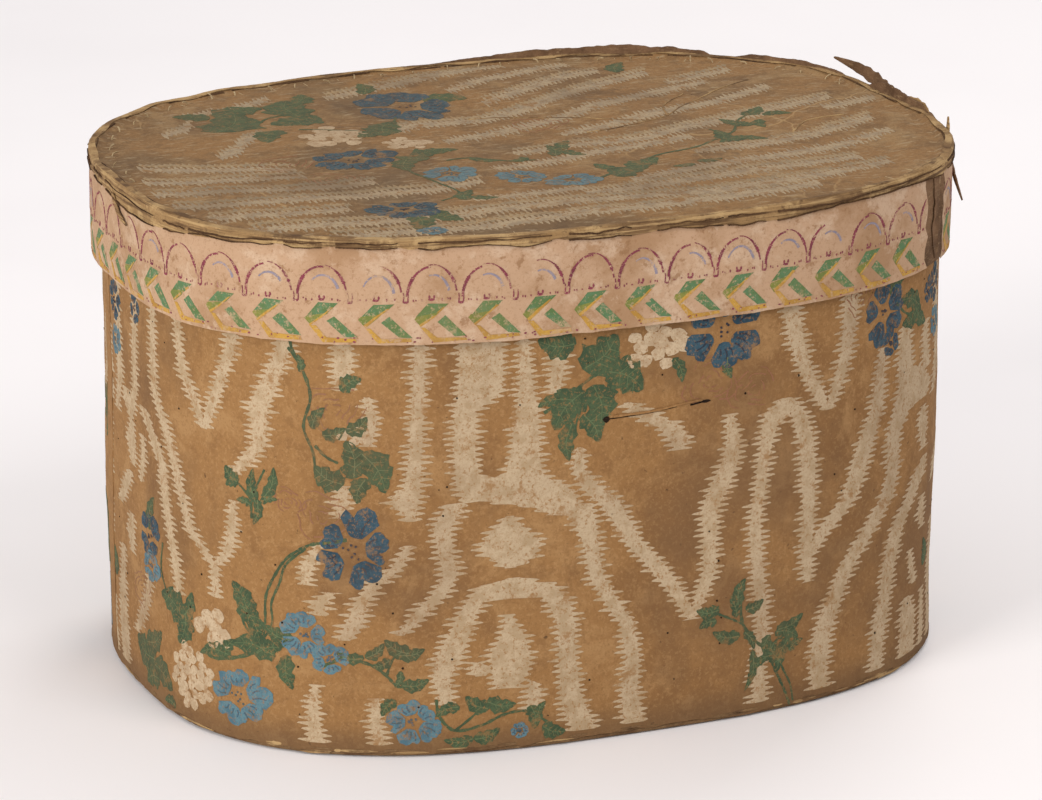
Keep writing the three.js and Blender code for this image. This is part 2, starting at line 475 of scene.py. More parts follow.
def linked(below, above):
    """What joins the spans of one level to the next: for each pair that overlap, both stretches' ends."""
    pairs = [(i, j) for i, a in enumerate(below) for j, b in enumerate(above)
             if a[0] < b[1] and b[0] < a[1]]
    links = []
    for i, j in pairs:
        a, b = below[i], above[j]
        mine = [q for p, q in pairs if p == i]
        theirs = [p for p, q in pairs if q == j]
        lo_a = a[0] if j == mine[0] else (above[j - 1][1] + b[0]) / 2
        hi_a = a[1] if j == mine[-1] else (b[1] + above[j + 1][0]) / 2
        lo_b = b[0] if i == theirs[0] else (below[i - 1][1] + a[0]) / 2
        hi_b = b[1] if i == theirs[-1] else (a[1] + below[i + 1][0]) / 2
        links.append((max(lo_a, a[0]), min(hi_a, a[1]), max(lo_b, b[0]), min(hi_b, b[1])))
    return links


def streaks(flat, strokes, foot, top, span_of):
    """Adds streaks with toothed edges: spans at many levels, joined from each level to the next."""
    levels = []
    for row in range(int((top - foot) / TOOTH)):
        for part, reach in zip(TOOTH_LEVELS, TOOTH_REACH):
            v = foot + (row + part) * TOOTH
            levels.append((v, spans(strokes, v, reach, row, span_of)))
    links = [linked(below[1], above[1]) for below, above in zip(levels, levels[1:])]
    extra = [set() for _ in levels]
    for k, found in enumerate(links):
        for lo_a, hi_a, lo_b, hi_b in found:
            extra[k].update((lo_a, hi_a))
            extra[k + 1].update((lo_b, hi_b))
    for k, found in enumerate(links):
        for lo_a, hi_a, lo_b, hi_b in found:
            below = row_points(levels[k][0], lo_a, hi_a, extra[k])
            above = row_points(levels[k + 1][0], lo_b, hi_b, extra[k + 1])
            zipped(flat, below, above)


def row_points(v, lo, hi, extra):
    """Points along v from lo to hi, at each cut and at each extra place between them."""
    first = math.floor(lo / CUT) + 1
    inner = {k * CUT for k in range(first, math.ceil(hi / CUT))}
    inner |= {u for u in extra if lo < u < hi}
    kept = [lo]
    for u in sorted(inner):
        if u - kept[-1] > 0.02 and hi - u > 0.02:
            kept.append(u)
    return [(u, v) for u in kept + [hi]]


def zipped(flat, below, above):
    """Triangles between two rows of points."""
    i = j = 0
    while i + 1 < len(below) or j + 1 < len(above):
        step_below = j + 1 >= len(above) or (i + 1 < len(below) and below[i + 1][0] <= above[j + 1][0])
        if step_below:
            flat.face([below[i], below[i + 1], above[j]])
            i += 1
        else:
            flat.face([below[i], above[j + 1], above[j]])
            j += 1


# One width of the side's paper. Each stroke is a list of (s, z, half width).
STROKES = [
    [(-366, 280, 7), (-366, 205, 7), (-364, 172, 8), (-372, 150, 6)],
    [(-334, 280, 5), (-335, 205, 6), (-338, 170, 7), (-346, 158, 7)],
    [(-350, 168, 12), (-348, 160, 14), (-346, 152, 4)],
    [(-326, 166, 9), (-310, 152, 9), (-299, 140, 8), (-296, 120, 7), (-291, 104, 6), (-286, 90, 6),
     (-283, 72, 5)],
    [(-344, 152, 5), (-347, 140, 11), (-344, 126, 6)],
    [(-326, 149, 4), (-326, 136, 6), (-331, 121, 3)],
    [(-348, 122, 7), (-358, 112, 9), (-370, 98, 7)],
    [(-348, 98, 5), (-350, 87, 10), (-346, 76, 5)],
    [(-364, 76, 5), (-366, 50, 9), (-362, 24, 11), (-366, 4, 9)],
    [(-318, 72, 4), (-322, 58, 8), (-334, 40, 7), (-342, 32, 4)],
    [(-306, 280, 5), (-308, 214, 5), (-308, 180, 6), (-299, 168, 7), (-288, 150, 7), (-279, 130, 6),
     (-271, 112, 6), (-260, 103, 6), (-252, 96, 5), (-252, 78, 4)],
    [(-281, 280, 5), (-280, 214, 5), (-276, 197, 6), (-266, 184, 6), (-259, 170, 4)],
    [(-234, 280, 5), (-238, 222, 6), (-246, 200, 6), (-252, 186, 6), (-259, 170, 4)],
    [(-238, 136, 3), (-239, 122, 5), (-242, 106, 5), (-250, 98, 5)],
    [(-204, 280, 6), (-207, 222, 7), (-214, 205, 8), (-221, 190, 9), (-221, 170, 7), (-230, 158, 7),
     (-238, 150, 4)],
    [(-174, 280, 7), (-175, 218, 8), (-175, 202, 7)],
    [(-163, 200, 3), (-160, 186, 5), (-163, 172, 4)],
    [(-176, 151, 4), (-176, 140, 6), (-178, 132, 4)],
    [(-188, 118, 3), (-195, 106, 6), (-197, 94, 4)],
    [(-142, 118, 3), (-148, 106, 5), (-160, 97, 6), (-167, 86, 6), (-171, 74, 8), (-176, 65, 6)],
    [(-182, 92, 4), (-190, 84, 7), (-188, 78, 4)],
    [(-192, 40, 3), (-193, 26, 5), (-192, 6, 8)],
    [(-160, 34, 3), (-160, 20, 5), (-158, 7, 5)],
    [(-135, 280, 5), (-135, 228, 5), (-137, 190, 6), (-138, 166, 6), (-140, 146, 8), (-141, 131, 4)],
    [(-146, 147, 3), (-147, 141, 8), (-143, 136, 4)],
    [(-104, 280, 14), (-104, 200, 15), (-112, 190, 9), (-112, 165, 9), (-110, 150, 10),
     (-106, 140, 10)],
    [(-81, 230, 4), (-80, 206, 6), (-79, 190, 9), (-80, 165, 11), (-80, 150, 14), (-76, 138, 14)],
    [(-92, 153, 20), (-88, 147, 31), (-78, 141, 28), (-62, 134, 15), (-56, 129, 11)],
    [(-52, 134, 12), (-46, 122, 9), (-43, 108, 7), (-40, 92, 7), (-32, 78, 7), (-23, 64, 7),
     (-20, 45, 7), (-21, 25, 8), (-18, 7, 9)],
    [(-117, 140, 8), (-124, 126, 8), (-122, 112, 7), (-120, 100, 7), (-126, 90, 7), (-136, 80, 7),
     (-147, 68, 4)],
    [(-88, 131, 4), (-89, 123, 13), (-88, 114, 20), (-86, 107, 14), (-88, 102, 5)],
    [(-86, 97, 6), (-88, 92, 21), (-88, 85, 16)],
    [(-101, 94, 7), (-110, 80, 8), (-115, 68, 9), (-121, 55, 10), (-125, 44, 8), (-122, 28, 5)],
    [(-72, 93, 10), (-61, 80, 9), (-57, 66, 8), (-57, 48, 8), (-55, 28, 9), (-49, 12, 10), (-45, 4, 9)],
    [(-89, 77, 3), (-87, 66, 9), (-88, 54, 14), (-88, 44, 13), (-90, 35, 9)],
    [(-106, 52, 3), (-104, 47, 9), (-104, 43, 5)],
    [(-76, 38, 3), (-75, 30, 7), (-76, 22, 5)],
    [(-62, 280, 6), (-62, 214, 7), (-64, 196, 5)],
    [(-50, 166, 3), (-50, 152, 6), (-44, 142, 8), (-34, 134, 9), (-26, 122, 8), (-20, 110, 8),
     (-10, 99, 8), (-3, 90, 8), (5, 78, 7), (11, 69, 6), (15, 61, 4)],
    [(36, 173, 3), (38, 160, 7), (37, 148, 8), (31, 134, 9), (25, 122, 8), (25, 104, 7),
     (25, 88, 7), (20, 74, 6), (15, 64, 4)],
    [(-24, 187, 4), (-14, 179, 9), (0, 171, 9), (7, 163, 9), (6, 156, 4)],
    [(-8, 280, 8), (-8, 238, 9)],
    [(70, 177, 5), (68, 171, 13), (60, 162, 8), (57, 148, 6), (55, 130, 6), (52, 110, 6),
     (53, 90, 6), (55, 72, 6), (57, 50, 6), (55, 30, 7), (57, 6, 7)],
    [(72, 176, 5), (79, 166, 8), (84, 150, 8), (86, 130, 8), (86, 108, 7), (85, 88, 7), (86, 70, 4)],
    [(72, 280, 8), (72, 226, 8), (76, 208, 8), (82, 190, 7), (91, 176, 7), (98, 165, 4)],
    [(113, 280, 8), (112, 214, 8), (110, 196, 7), (105, 180, 6), (98, 165, 4)],
    [(139, 192, 4), (137, 172, 7), (135, 158, 8), (127, 142, 9), (121, 126, 9), (115, 113, 9),
     (104, 103, 9), (95, 96, 8), (88, 86, 5)],
    [(161, 200, 7), (161, 182, 10), (163, 165, 12), (158, 152, 12), (150, 140, 9), (149, 118, 8),
     (145, 105, 9), (134, 94, 9), (124, 84, 9), (114, 74, 9), (108, 63, 8), (102, 50, 9),
     (97, 38, 9), (95, 20, 9), (97, 5, 8)],
    [(187, 196, 5), (187, 182, 6), (188, 168, 9)],
    [(172, 172, 10), (176, 160, 22), (178, 152, 14)],
    [(184, 148, 4), (183, 138, 10), (185, 122, 5)],
    [(188, 118, 6), (180, 110, 12), (170, 100, 9), (160, 90, 9), (154, 80, 9), (149, 66, 9),
     (146, 52, 8), (143, 38, 9), (140, 24, 8), (139, 6, 8)],
    [(186, 96, 4), (185, 86, 8), (188, 76, 4)],
    [(171, 68, 3), (174, 56, 5), (178, 46, 6)],
    [(168, 42, 6), (170, 30, 12), (170, 4, 12)],
    [(190, 40, 4), (191, 25, 6), (190, 6, 6)],
]
SHEET_WIDTH = 575.0
SHEET_START = -378.0
SHEET_END = SHEET_START + ROUND
PRINT_START = 13.5  # the block's first place, round the side

# The lid's streaks run along it: each stroke is a list of (y, x, half width).
LID_STROKES = [
    [(36, -214, 5), (26, -192, 6), (14, -172, 6), (-2, -138, 5)],
    [(8, -222, 5), (-2, -196, 6), (-8, -170, 6), (-18, -140, 5)],
    [(-16, -226, 5), (-26, -194, 6), (-40, -160, 6), (-48, -112, 6)],
    [(-42, -226, 5), (-56, -198, 6), (-66, -150, 7), (-74, -96, 6), (-70, -60, 4)],
    [(-72, -218, 5), (-84, -186, 6), (-92, -146, 5)],
    [(-100, -208, 5), (-112, -176, 6), (-120, -132, 6), (-124, -60, 7), (-128, 0, 7), (-138, 44, 8),
     (-134, 110, 7), (-118, 160, 5)],
    [(-132, -176, 5), (-142, -120, 7), (-148, -60, 7), (-152, 0, 8), (-152, 60, 8), (-148, 100, 6)],
    [(38, -166, 6), (48, -152, 9), (66, -140, 8), (74, -126, 4)],
    [(96, -176, 4), (104, -160, 7), (118, -150, 6)],
    [(132, -150, 5), (138, -110, 6), (150, -90, 5)],
    [(48, -74, 6), (56, -40, 8), (52, -4, 7), (64, 30, 8), (80, 60, 8), (96, 92, 7), (112, 130, 5)],
    [(14, -44, 5), (24, -10, 7), (34, 30, 7), (50, 66, 8), (62, 104, 7), (78, 150, 6)],
    [(140, -60, 5), (146, -20, 7), (156, 20, 8), (160, 60, 6)],
    [(118, 6, 5), (132, 36, 7), (140, 70, 7), (146, 96, 5)],
    [(86, 14, 5), (100, 44, 7), (116, 78, 7), (126, 106, 5)],
    [(4, 22, 4), (12, 54, 7), (22, 92, 8), (34, 132, 7), (50, 176, 6)],
    [(-22, -20, 4), (-20, 24, 6), (-22, 62, 7), (-10, 100, 7), (2, 150, 7), (14, 196, 5)],
    [(-48, -44, 4), (-42, 0, 6), (-34, 44, 7), (-32, 84, 6)],
    [(-62, 70, 4), (-62, 110, 7), (-52, 150, 7), (-34, 196, 6)],
    [(-98, 14, 4), (-92, 60, 7), (-88, 104, 7), (-78, 150, 7), (-62, 192, 5)],
    [(-112, -20, 4), (-112, 40, 7), (-110, 96, 7), (-104, 150, 6)],
    [(-100, -80, 4), (-104, -50, 6), (-102, -16, 5)],
    [(84, 128, 4), (92, 152, 6), (98, 176, 4)],
    [(-6, 180, 4), (-2, 206, 6), (6, 222, 4)],
]


# ---------------------------------------------------------------- flowers, leaves and stems


LEAF_STRETCH, LEAF_SPREAD = 1.08, 1.05  # a leaf is printed this much larger than its row says
LEAF_LOBES = 3
LEAST_VEINED = 9  # a leaf no longer than this has no veins


def leaf(flat, veins, at, angle, length, width, seed):
    """A bent leaf with a lobed edge, centred on a point."""
    dice = random.Random(seed * 31 + int(abs(at[0]) * 7 + at[1]))
    turn = math.radians(angle)
    ux, uy = math.cos(turn), math.sin(turn)
    phase = dice.uniform(0, 1.5)

    def place(t, across):
        bend = 0.12 * length * math.sin(math.pi * t) * (1 if seed % 2 else -1)
        x, y = (t - 0.5) * length, across + bend
        return (at[0] + x * ux - y * uy, at[1] + x * uy + y * ux)

    sides = []
    for way in (1, -1):
        edge = []
        for i in range(1, 15):
            t = i / 15
            full = math.sin(math.pi * t**0.66) ** 0.66
            lobe = 1 + 0.17 * math.cos(2 * math.pi * LEAF_LOBES * t + phase) + 0.07 * (i % 2)
            edge.append(place(t, way * width / 2 * full * lobe * dice.uniform(0.92, 1.06)))
        sides.append(edge)
    flat.polygon([place(0, 0)] + sides[1] + [place(1, 0)] + sides[0][::-1])
    if length > LEAST_VEINED:
        print_veins(veins, place, 0.32 * width)


def print_veins(veins, place, reach):
    """A leaf's middle vein, and three pairs of side veins."""
    ribbon(veins, [place(0.05, 0), place(0.5, 0), place(0.92, 0)], 0.6)
    for t in (0.3, 0.5, 0.68):
        for way in (1, -1):
            ribbon(veins, [place(t, 0), place(t + 0.12, way * reach)], 0.45)


def spline(a, b, c, d, t):
    """A smooth curve through four values, between the second and the third."""
    return 0.5 * (2 * b + (c - a) * t + (2 * a - 5 * b + 4 * c - d) * t**2 + (3 * b - a - 3 * c + d) * t**3)


def smoothed(points, per_span=5):
    """More points on a smooth curve through the given ones."""
    if len(points) < 3:
        return list(points)
    ends = [points[0]] + list(points) + [points[-1]]
    curve = []
    for span in zip(ends, ends[1:], ends[2:], ends[3:]):
        for i in range(per_span):
            curve.append(tuple(spline(*values, i / per_span) for values in zip(*span)))
    return curve + [points[-1]]


def ribbon(flat, points, width, taper=0.5):
    """A painted line through the given points."""
    line = smoothed(points)
    left, right = [], []
    for i, (u, v) in enumerate(line):
        a, b = line[max(i - 1, 0)], line[min(i + 1, len(line) - 1)]
        size = math.hypot(b[0] - a[0], b[1] - a[1]) or 1
        nx, ny = -(b[1] - a[1]) / size, (b[0] - a[0]) / size
        part = i / (len(line) - 1)
        half = width / 2 * (1 - taper * part) * (1 + 0.25 * math.sin(2.3 * i))
        left.append((u + nx * half, v + ny * half))
        right.append((u - nx * half, v - ny * half))
    for i in range(len(line) - 1):
        flat.polygon([right[i], right[i + 1], left[i + 1], left[i]])


def petal(flat, marks, place, middle, half, radius, dice):
    """A petal with a notched end, and three darker strokes on it. place(r, angle) gives its points."""
    size = radius * dice.uniform(0.84, 1.14)
    dent, dip = dice.uniform(-0.4, 0.4), dice.uniform(0.1, 0.3)
    outline = []
    for i in range(13):
        part = i / 6 - 1
        fall = 1 - 0.20 * abs(part) ** 3 - dip * math.exp(-(((part - dent) / 0.2) ** 2))
        outline.append(place(size * (fall + dice.uniform(-0.03, 0.03)), middle + half * part))
    for part in (0.75, 0.25, -0.25, -0.75):
        outline.append(place(radius * 0.29 * (1 + 0.35 * abs(part)), middle + half * part))
    flat.polygon(outline)
    for part in (-0.5, 0.05, 0.55):
        inner, outer = radius * dice.uniform(0.42, 0.5), size * dice.uniform(0.66, 0.82)
        bend = middle + half * part
        halfway = place(0.5 * (inner + outer), bend + 0.07)
        ribbon(marks, [place(inner, bend), halfway, place(outer, bend + 0.02)], 1.0)


def flower(flat, marks, at, radius, petals, turn, squash, spread, seed):
    """Petals round an open middle with stamens. A spread of 0.5 closes the gaps between the petals."""
    dice = random.Random(seed)
    step = 2 * math.pi / petals

    def place(r, angle):
        return (at[0] + r * math.cos(angle), at[1] + squash * r * math.sin(angle))

    for k in range(petals):
        middle = math.radians(turn) + k * step + dice.uniform(-0.12, 0.12)
        half = step * dice.uniform(spread - 0.04, spread + 0.04)
        petal(flat, marks, place, middle, half, radius, dice)
    for _ in range(7):
        spot(marks, place(radius * dice.uniform(0.05, 0.24), dice.uniform(0, 2 * math.pi)), 0.7, 0.7)


def spot(flat, at, rx, ry, count=8, seed=0):
    """An uneven dot with the given number of corners."""
    dice = random.Random(seed + int(at[0] * 13 + at[1] * 5))
    flat.polygon([
        (at[0] + rx * dice.uniform(0.82, 1.12) * math.cos(2 * math.pi * k / count),
         at[1] + ry * dice.uniform(0.82, 1.12) * math.sin(2 * math.pi * k / count))
        for k in range(count)
    ])


def blossom(flat, at, rx, ry, rings, seed=2):
    """A pale open blossom: many small round petals with the ground showing between them."""
    dice = random.Random(seed)
    count = 6 + 4 * rings * (rings - 1)
    golden = math.radians(137.5)
    for k in range(count):
        reach = 0.9 * math.sqrt((k + 0.3) / count)
        angle = golden * k + dice.uniform(-0.12, 0.12)
        size = dice.uniform(0.84, 1.04) / math.sqrt(count)
        place = (at[0] + rx * reach * math.cos(angle), at[1] + ry * reach * math.sin(angle))
        spot(flat, place, rx * size, ry * size * dice.uniform(0.8, 1.1), 9, seed=k)


def rose(flat, at, radius, seed):
    """A faded rose: broken thin rings."""
    dice = random.Random(seed)
    for ring in (0.22, 0.45, 0.68, 0.92):
        start = dice.uniform(0, 6)
        for _ in range(3):
            sweep = dice.uniform(0.8, 1.5)
            arc = []
            for t in range(5):
                angle = start + sweep * t / 4
                reach = radius * ring * (1 + 0.16 * math.sin(3 * angle + seed) + dice.uniform(-0.07, 0.07))
                arc.append((at[0] + reach * math.cos(angle), at[1] + 0.85 * reach * math.sin(angle)))
            ribbon(flat, arc, 0.9)
            start += sweep + dice.uniform(0.3, 0.8)


# (s, z, angle, length, width) on the side's paper
LEAVES = [
    (-198, 216, 100, 9, 4), (-188, 187, 60, 13, 6), (-180, 180, 20, 12, 7), (-171, 206, 30, 12, 8),
    (-168, 184, 40, 13, 8), (-183, 156, 150, 17, 12), (-172, 165, 100, 20, 13), (-160, 158, 300, 24, 15),
    (-166, 148, 250, 14, 9), (-239, 150, 140, 11, 8), (-239, 145, 200, 8, 6), (-224, 146, 95, 18, 6),
    (-216, 149, 70, 18, 6), (-224, 132, 260, 14, 5), (-231, 136, 170, 9, 4), (-216, 139, 15, 10, 4),
    (-235, 80, 115, 22, 12), (-229, 68, 300, 22, 10), (-228, 54, 175, 26, 12), (-212, 66, 160, 16, 9),
    (-206, 45, 280, 18, 9), (-218, 55, 20, 16, 9), (-254, 46, 190, 22, 8), (-243, 52, 60, 12, 7),
    (-291, 63, 160, 24, 16), (-281, 54, 250, 20, 13), (-276, 68, 60, 18, 9), (-326, 28, 170, 26, 20),
    (-314, 38, 30, 22, 12), (-304, 18, 340, 22, 15), (-318, 12, 200, 18, 12), (-315, 108, 70, 20, 9),
    (-296, 6, 180, 12, 6), (-173, 57, 170, 14, 6), (-160, 60, 40, 12, 6), (-148, 62, 150, 15, 8),
    (-141, 59, 10, 14, 7), (-157, 53, 200, 10, 5), (-139, 42, 10, 14, 7), (-148, 44, 250, 9, 4),
    (-122, 25, 200, 13, 6), (-106, 29, 150, 14, 8), (-93, 28, 350, 15, 8), (-116, 9, 180, 15, 6),
    (-101, 11, 20, 14, 7), (-76, 18, 280, 13, 8), (-64, 10, 340, 13, 8), (-71, 22, 60, 9, 4),
    (-153, 28, 230, 11, 6), (-63, 224, 170, 20, 13), (-39, 216, 40, 24, 20), (-25, 199, 330, 22, 18),
    (-56, 186, 230, 24, 17), (-41, 187, 280, 22, 16), (-55, 169, 265, 20, 9), (-44, 175, 300, 17, 11),
    (-66, 191, 190, 14, 6), (5, 201, 290, 14, 6), (35, 199, 280, 12, 6), (44, 72, 75, 15, 7),
    (52, 64, 20, 11, 6), (24, 65, 175, 13, 7), (24, 57, 195, 10, 6), (35, 50, 165, 16, 7),
    (39, 64, 110, 11, 5), (49, 44, 300, 12, 5), (60, 40, 250, 10, 5), (66, 35, 120, 15, 8),
    (75, 50, 20, 17, 7), (73, 43, 340, 15, 8), (71, 32, 250, 18, 8), (49, 27, 260, 22, 5),
    (58, 30, 210, 14, 5), (79, 36, 30, 10, 5), (165, 210, 160, 22, 10), (166, 203, 200, 18, 10),
    (178, 201, 320, 18, 9), (150, 224, 20, 14, 8), (193, 60, 100, 16, 9), (-10, 244, 60, 22, 16),
    (-52, 250, 120, 22, 16), (155, 246, 60, 20, 12),
]
STEMS = [
    ([(-204, 240), (-202, 224), (-196, 212), (-192, 198), (-196, 182), (-191, 168), (-190, 154)], 1.8),
    ([(-204, 224), (-198, 216), (-193, 206)], 1.6),
    ([(-190, 172), (-184, 166), (-178, 163)], 1.6),
    ([(-174, 121), (-184, 119), (-194, 117), (-206, 109), (-213, 99), (-219, 86), (-220, 70),
     (-222, 58)], 1.8),
    ([(-196, 115), (-207, 105), (-211, 94), (-216, 82), (-216, 70), (-224, 58)], 1.5),
    ([(-224, 60), (-232, 66), (-236, 76)], 1.5),
    ([(-222, 58), (-213, 60), (-205, 64)], 1.5),
    ([(-224, 54), (-238, 48), (-254, 44), (-262, 46)], 2.2),
    ([(-188, 50), (-176, 55), (-162, 52), (-154, 46), (-148, 40), (-140, 40)], 1.8),
    ([(-154, 46), (-150, 56), (-142, 60)], 1.5),
    ([(-128, 32), (-126, 22), (-118, 14), (-104, 16), (-92, 21), (-80, 22), (-70, 16), (-62, 9)], 1.7),
    ([(-118, 14), (-108, 22), (-102, 28)], 1.4),
    ([(-70, 186), (-60, 192), (-48, 200), (-36, 208)], 1.8),
    ([(-50, 198), (-50, 186), (-54, 174)], 1.5),
    ([(42, 76), (43, 66), (45, 54), (52, 44), (60, 36), (66, 24), (72, 12), (76, 2)], 1.9),
    ([(30, 62), (38, 58), (45, 54)], 1.4),
    ([(60, 36), (68, 42), (76, 48)], 1.4),
    ([(66, 40), (70, 26), (76, 14), (78, 4)], 1.3),
    ([(-226, 128), (-226, 138), (-222, 148), (-218, 156)], 1.5),
    ([(-226, 138), (-232, 144), (-238, 148)], 1.3),
    ([(150, 214), (160, 206), (172, 202)], 1.5),
    ([(-300, 96), (-302, 80), (-296, 68)], 1.6),
]
# (s, z, radius, petals, turn, squash)
DARK_FLOWERS = [
    (-171, 115, 22, 5, 75, 1.05), (31, 220, 22, 6, 270, 1.0), (139, 211, 17, 5, 100, 1.0),
    (146, 192, 8, 3, 250, 1.0), (-334, 217, 9, 4, 20, 1.0), (-372, 212, 12, 5, 0, 1.0),
    (189, 211, 8, 4, 60, 1.0), (-318, 95, 15, 4, 40, 0.9),
]
LIGHT_FLOWERS = [
    (-237, 26, 20, 5, 20, 0.92), (-198, 67, 13, 5, 80, 1.0), (-184, 54, 10, 4, 200, 0.9),
    (-140, 20, 14, 5, 40, 0.95), (-83, 11, 6, 4, 10, 0.8), (-316, 78, 13, 4, 250, 0.7),
    (-371, 190, 10, 4, 10, 1.0),
]
BLOSSOMS = [(-256, 61, 13, 13, 1), (-274, 28, 20, 19, 3), (-170, 178, 8, 6, 1), (-7, 217, 18, 16, 2)]
ROSES = [(-180, 192, 17), (-186, 133, 17), (-205, 140, 9), (24, 192, 16), (50, 184, 15), (-330, 60, 14),
         (118, 224, 12)]

# (x, y, angle, length, width) on the lid's paper
LID_LEAVES = [
    (-134, 108, 60, 42, 30), (-118, 126, 20, 30, 22), (-146, 128, 150, 20, 13), (-86, 124, 80, 38, 24),
    (-76, 142, 60, 22, 14), (-97, 98, 200, 30, 24), (-122, 68, 240, 26, 15), (-58, 56, 60, 28, 18),
    (-72, 44, 200, 22, 13), (-2, 104, 340, 24, 16), (-34, 148, 80, 20, 10), (-58, -6, 10, 26, 12),
    (-82, -22, 250, 20, 12), (-74, -10, 150, 18, 9), (-40, -28, 330, 16, 6), (-22, -34, 200, 12, 6),
    (2, -24, 80, 20, 8), (14, -18, 60, 18, 8), (12, -34, 300, 14, 7), (22, -82, 30, 26, 16),
    (36, -66, 20, 22, 12),
    (14, -66, 120, 14, 8), (70, -80, 0, 14, 6), (52, -84, 180, 12, 6), (100, -34, 80, 18, 10),
    (112, -46, 340, 20, 10),
    (100, -48, 200, 16, 7), (122, -12, 130, 20, 9), (140, 4, 40, 20, 9), (150, -8, 350, 16, 7),
    (134, -20, 260, 13, 7),
    (-78, -90, 60, 20, 9), (-72, -98, 330, 14, 7), (-124, -126, 250, 22, 13), (-104, -120, 300, 20, 12),
    (120, 128, 60, 22, 10), (134, 142, 30, 18, 9),
]
LID_STEMS = [
    ([(-8, -92), (12, -80), (34, -66), (52, -58), (76, -54), (94, -42), (112, -28), (124, -10),
     (142, 2)], 2.0),
    ([(-60, -24), (-44, -24), (-30, -34), (-14, -38)], 1.6),
    ([(-64, 6), (-78, -14), (-86, -34), (-84, -60), (-80, -84), (-96, -96)], 1.8),
    ([(-104, 74), (-84, 60), (-66, 50), (-52, 64), (-44, 78)], 1.8),
    ([(100, -46), (104, -36), (100, -22)], 1.4),
    ([(-120, 96), (-108, 108), (-92, 112)], 1.8),
]
LID_DARK_FLOWERS = [(-104, 0, 25, 6, 20, 0.9), (-28, 100, 27, 5, 60, 1.25), (-120, -102, 19, 5, 10, 0.8)]
LID_LIGHT_FLOWERS = [(-70, -50, 16, 5, 30, 1.1), (-36, -68, 14, 5, 0, 0.9), (-14, -84, 15, 5, 40, 0.8),
                     (-122, -142, 9, 4, 0, 0.8)]
LID_BLOSSOMS = [(-94, 50, 20, 24, 2), (-64, 20, 14, 15, 2)]
LID_ROSES = [(-140, 10, 18), (20, 30, 18), (-130, -30, 16)]


PLANT_INK_HEIGHTS = {
    "cream": 0.10, "rose": 0.12, "green": 0.17, "blossom": 0.16, "vein": 0.22, "dark_blue": 0.19,
    "light_blue": 0.19, "mark": 0.24, "shade": 0.23,
}
SIDE_PLANTS = {
    "leaves": LEAVES, "stems": STEMS, "dark": DARK_FLOWERS, "light": LIGHT_FLOWERS, "blossoms": BLOSSOMS,
    "roses": ROSES,
}
LID_PLANTS = {
    "leaves": LID_LEAVES, "stems": LID_STEMS, "dark": LID_DARK_FLOWERS, "light": LID_LIGHT_FLOWERS,
    "blossoms": LID_BLOSSOMS, "roses": LID_ROSES,
}


def flat_inks(heights):
    """One empty print for each ink."""
    return {name: Flat() for name in heights}


def lay_inks(prefix, inks, heights, surface, body, slot, looks):
    """Lays each ink on a paper, at its own height."""
    for name, proud in heights.items():
        if inks[name].faces:
            laid(f"{prefix}_{name}_print", inks[name], surface, proud, look=looks[name], body=body,
                 slot=slot)


def placed(plants, place):
    """The same plants with each point moved by place(u, v)."""
    moved = {
        kind: [(*place(item[0], item[1]), *item[2:]) for item in items]
        for kind, items in plants.items() if kind != "stems"
    }
    moved["stems"] = [([place(u, v) for u, v in points], width) for points, width in plants["stems"]]
    return moved


def print_plants(inks, plants, keep, dark_spread=0.5):
    """Prints the plants for which keep(u, v, reach) is true."""
    for number, (u, v, angle, length, width) in enumerate(plants["leaves"]):
        if keep(u, v, length / 2):
            leaf(inks["green"], inks["vein"], (u, v), angle, length * LEAF_STRETCH, width * LEAF_SPREAD,
                 number)
    for points, width in plants["stems"]:
        if all(keep(u, v, 2) for u, v in points):
            ribbon(inks["green"], points, width, taper=0.25)
    kinds = (("dark", "dark_blue", "mark", dark_spread), ("light", "light_blue", "shade", 0.5))
    for kind, layer, marks, spread in kinds:
        for number, (u, v, radius, petals, turn, squash) in enumerate(plants[kind]):
            if keep(u, v, radius):
                flower(inks[layer], inks[marks], (u, v), radius, petals, turn, squash, spread,
                       seed=number + 5)
    for u, v, rx, ry, rings in plants["blossoms"]:
        if keep(u, v, rx):
            blossom(inks["blossom"], (u, v), rx, ry, rings)
    for number, (u, v, radius) in enumerate(plants["roses"]):
        if keep(u, v, radius):
            rose(inks["rose"], (u, v), radius, number)


# ---------------------------------------------------------------- materials

MIX_FACTOR, MIX_UNDER, MIX_OVER, MIX_RESULT = 0, 6, 7, 2  # a colour Mix node's sockets


def srgb(red, green, blue):
    def linear(c):
        c /= 255
        return c / 12.92 if c <= 0.04045 else ((c + 0.055) / 1.055) ** 2.4

    return (linear(red), linear(green), linear(blue), 1.0)


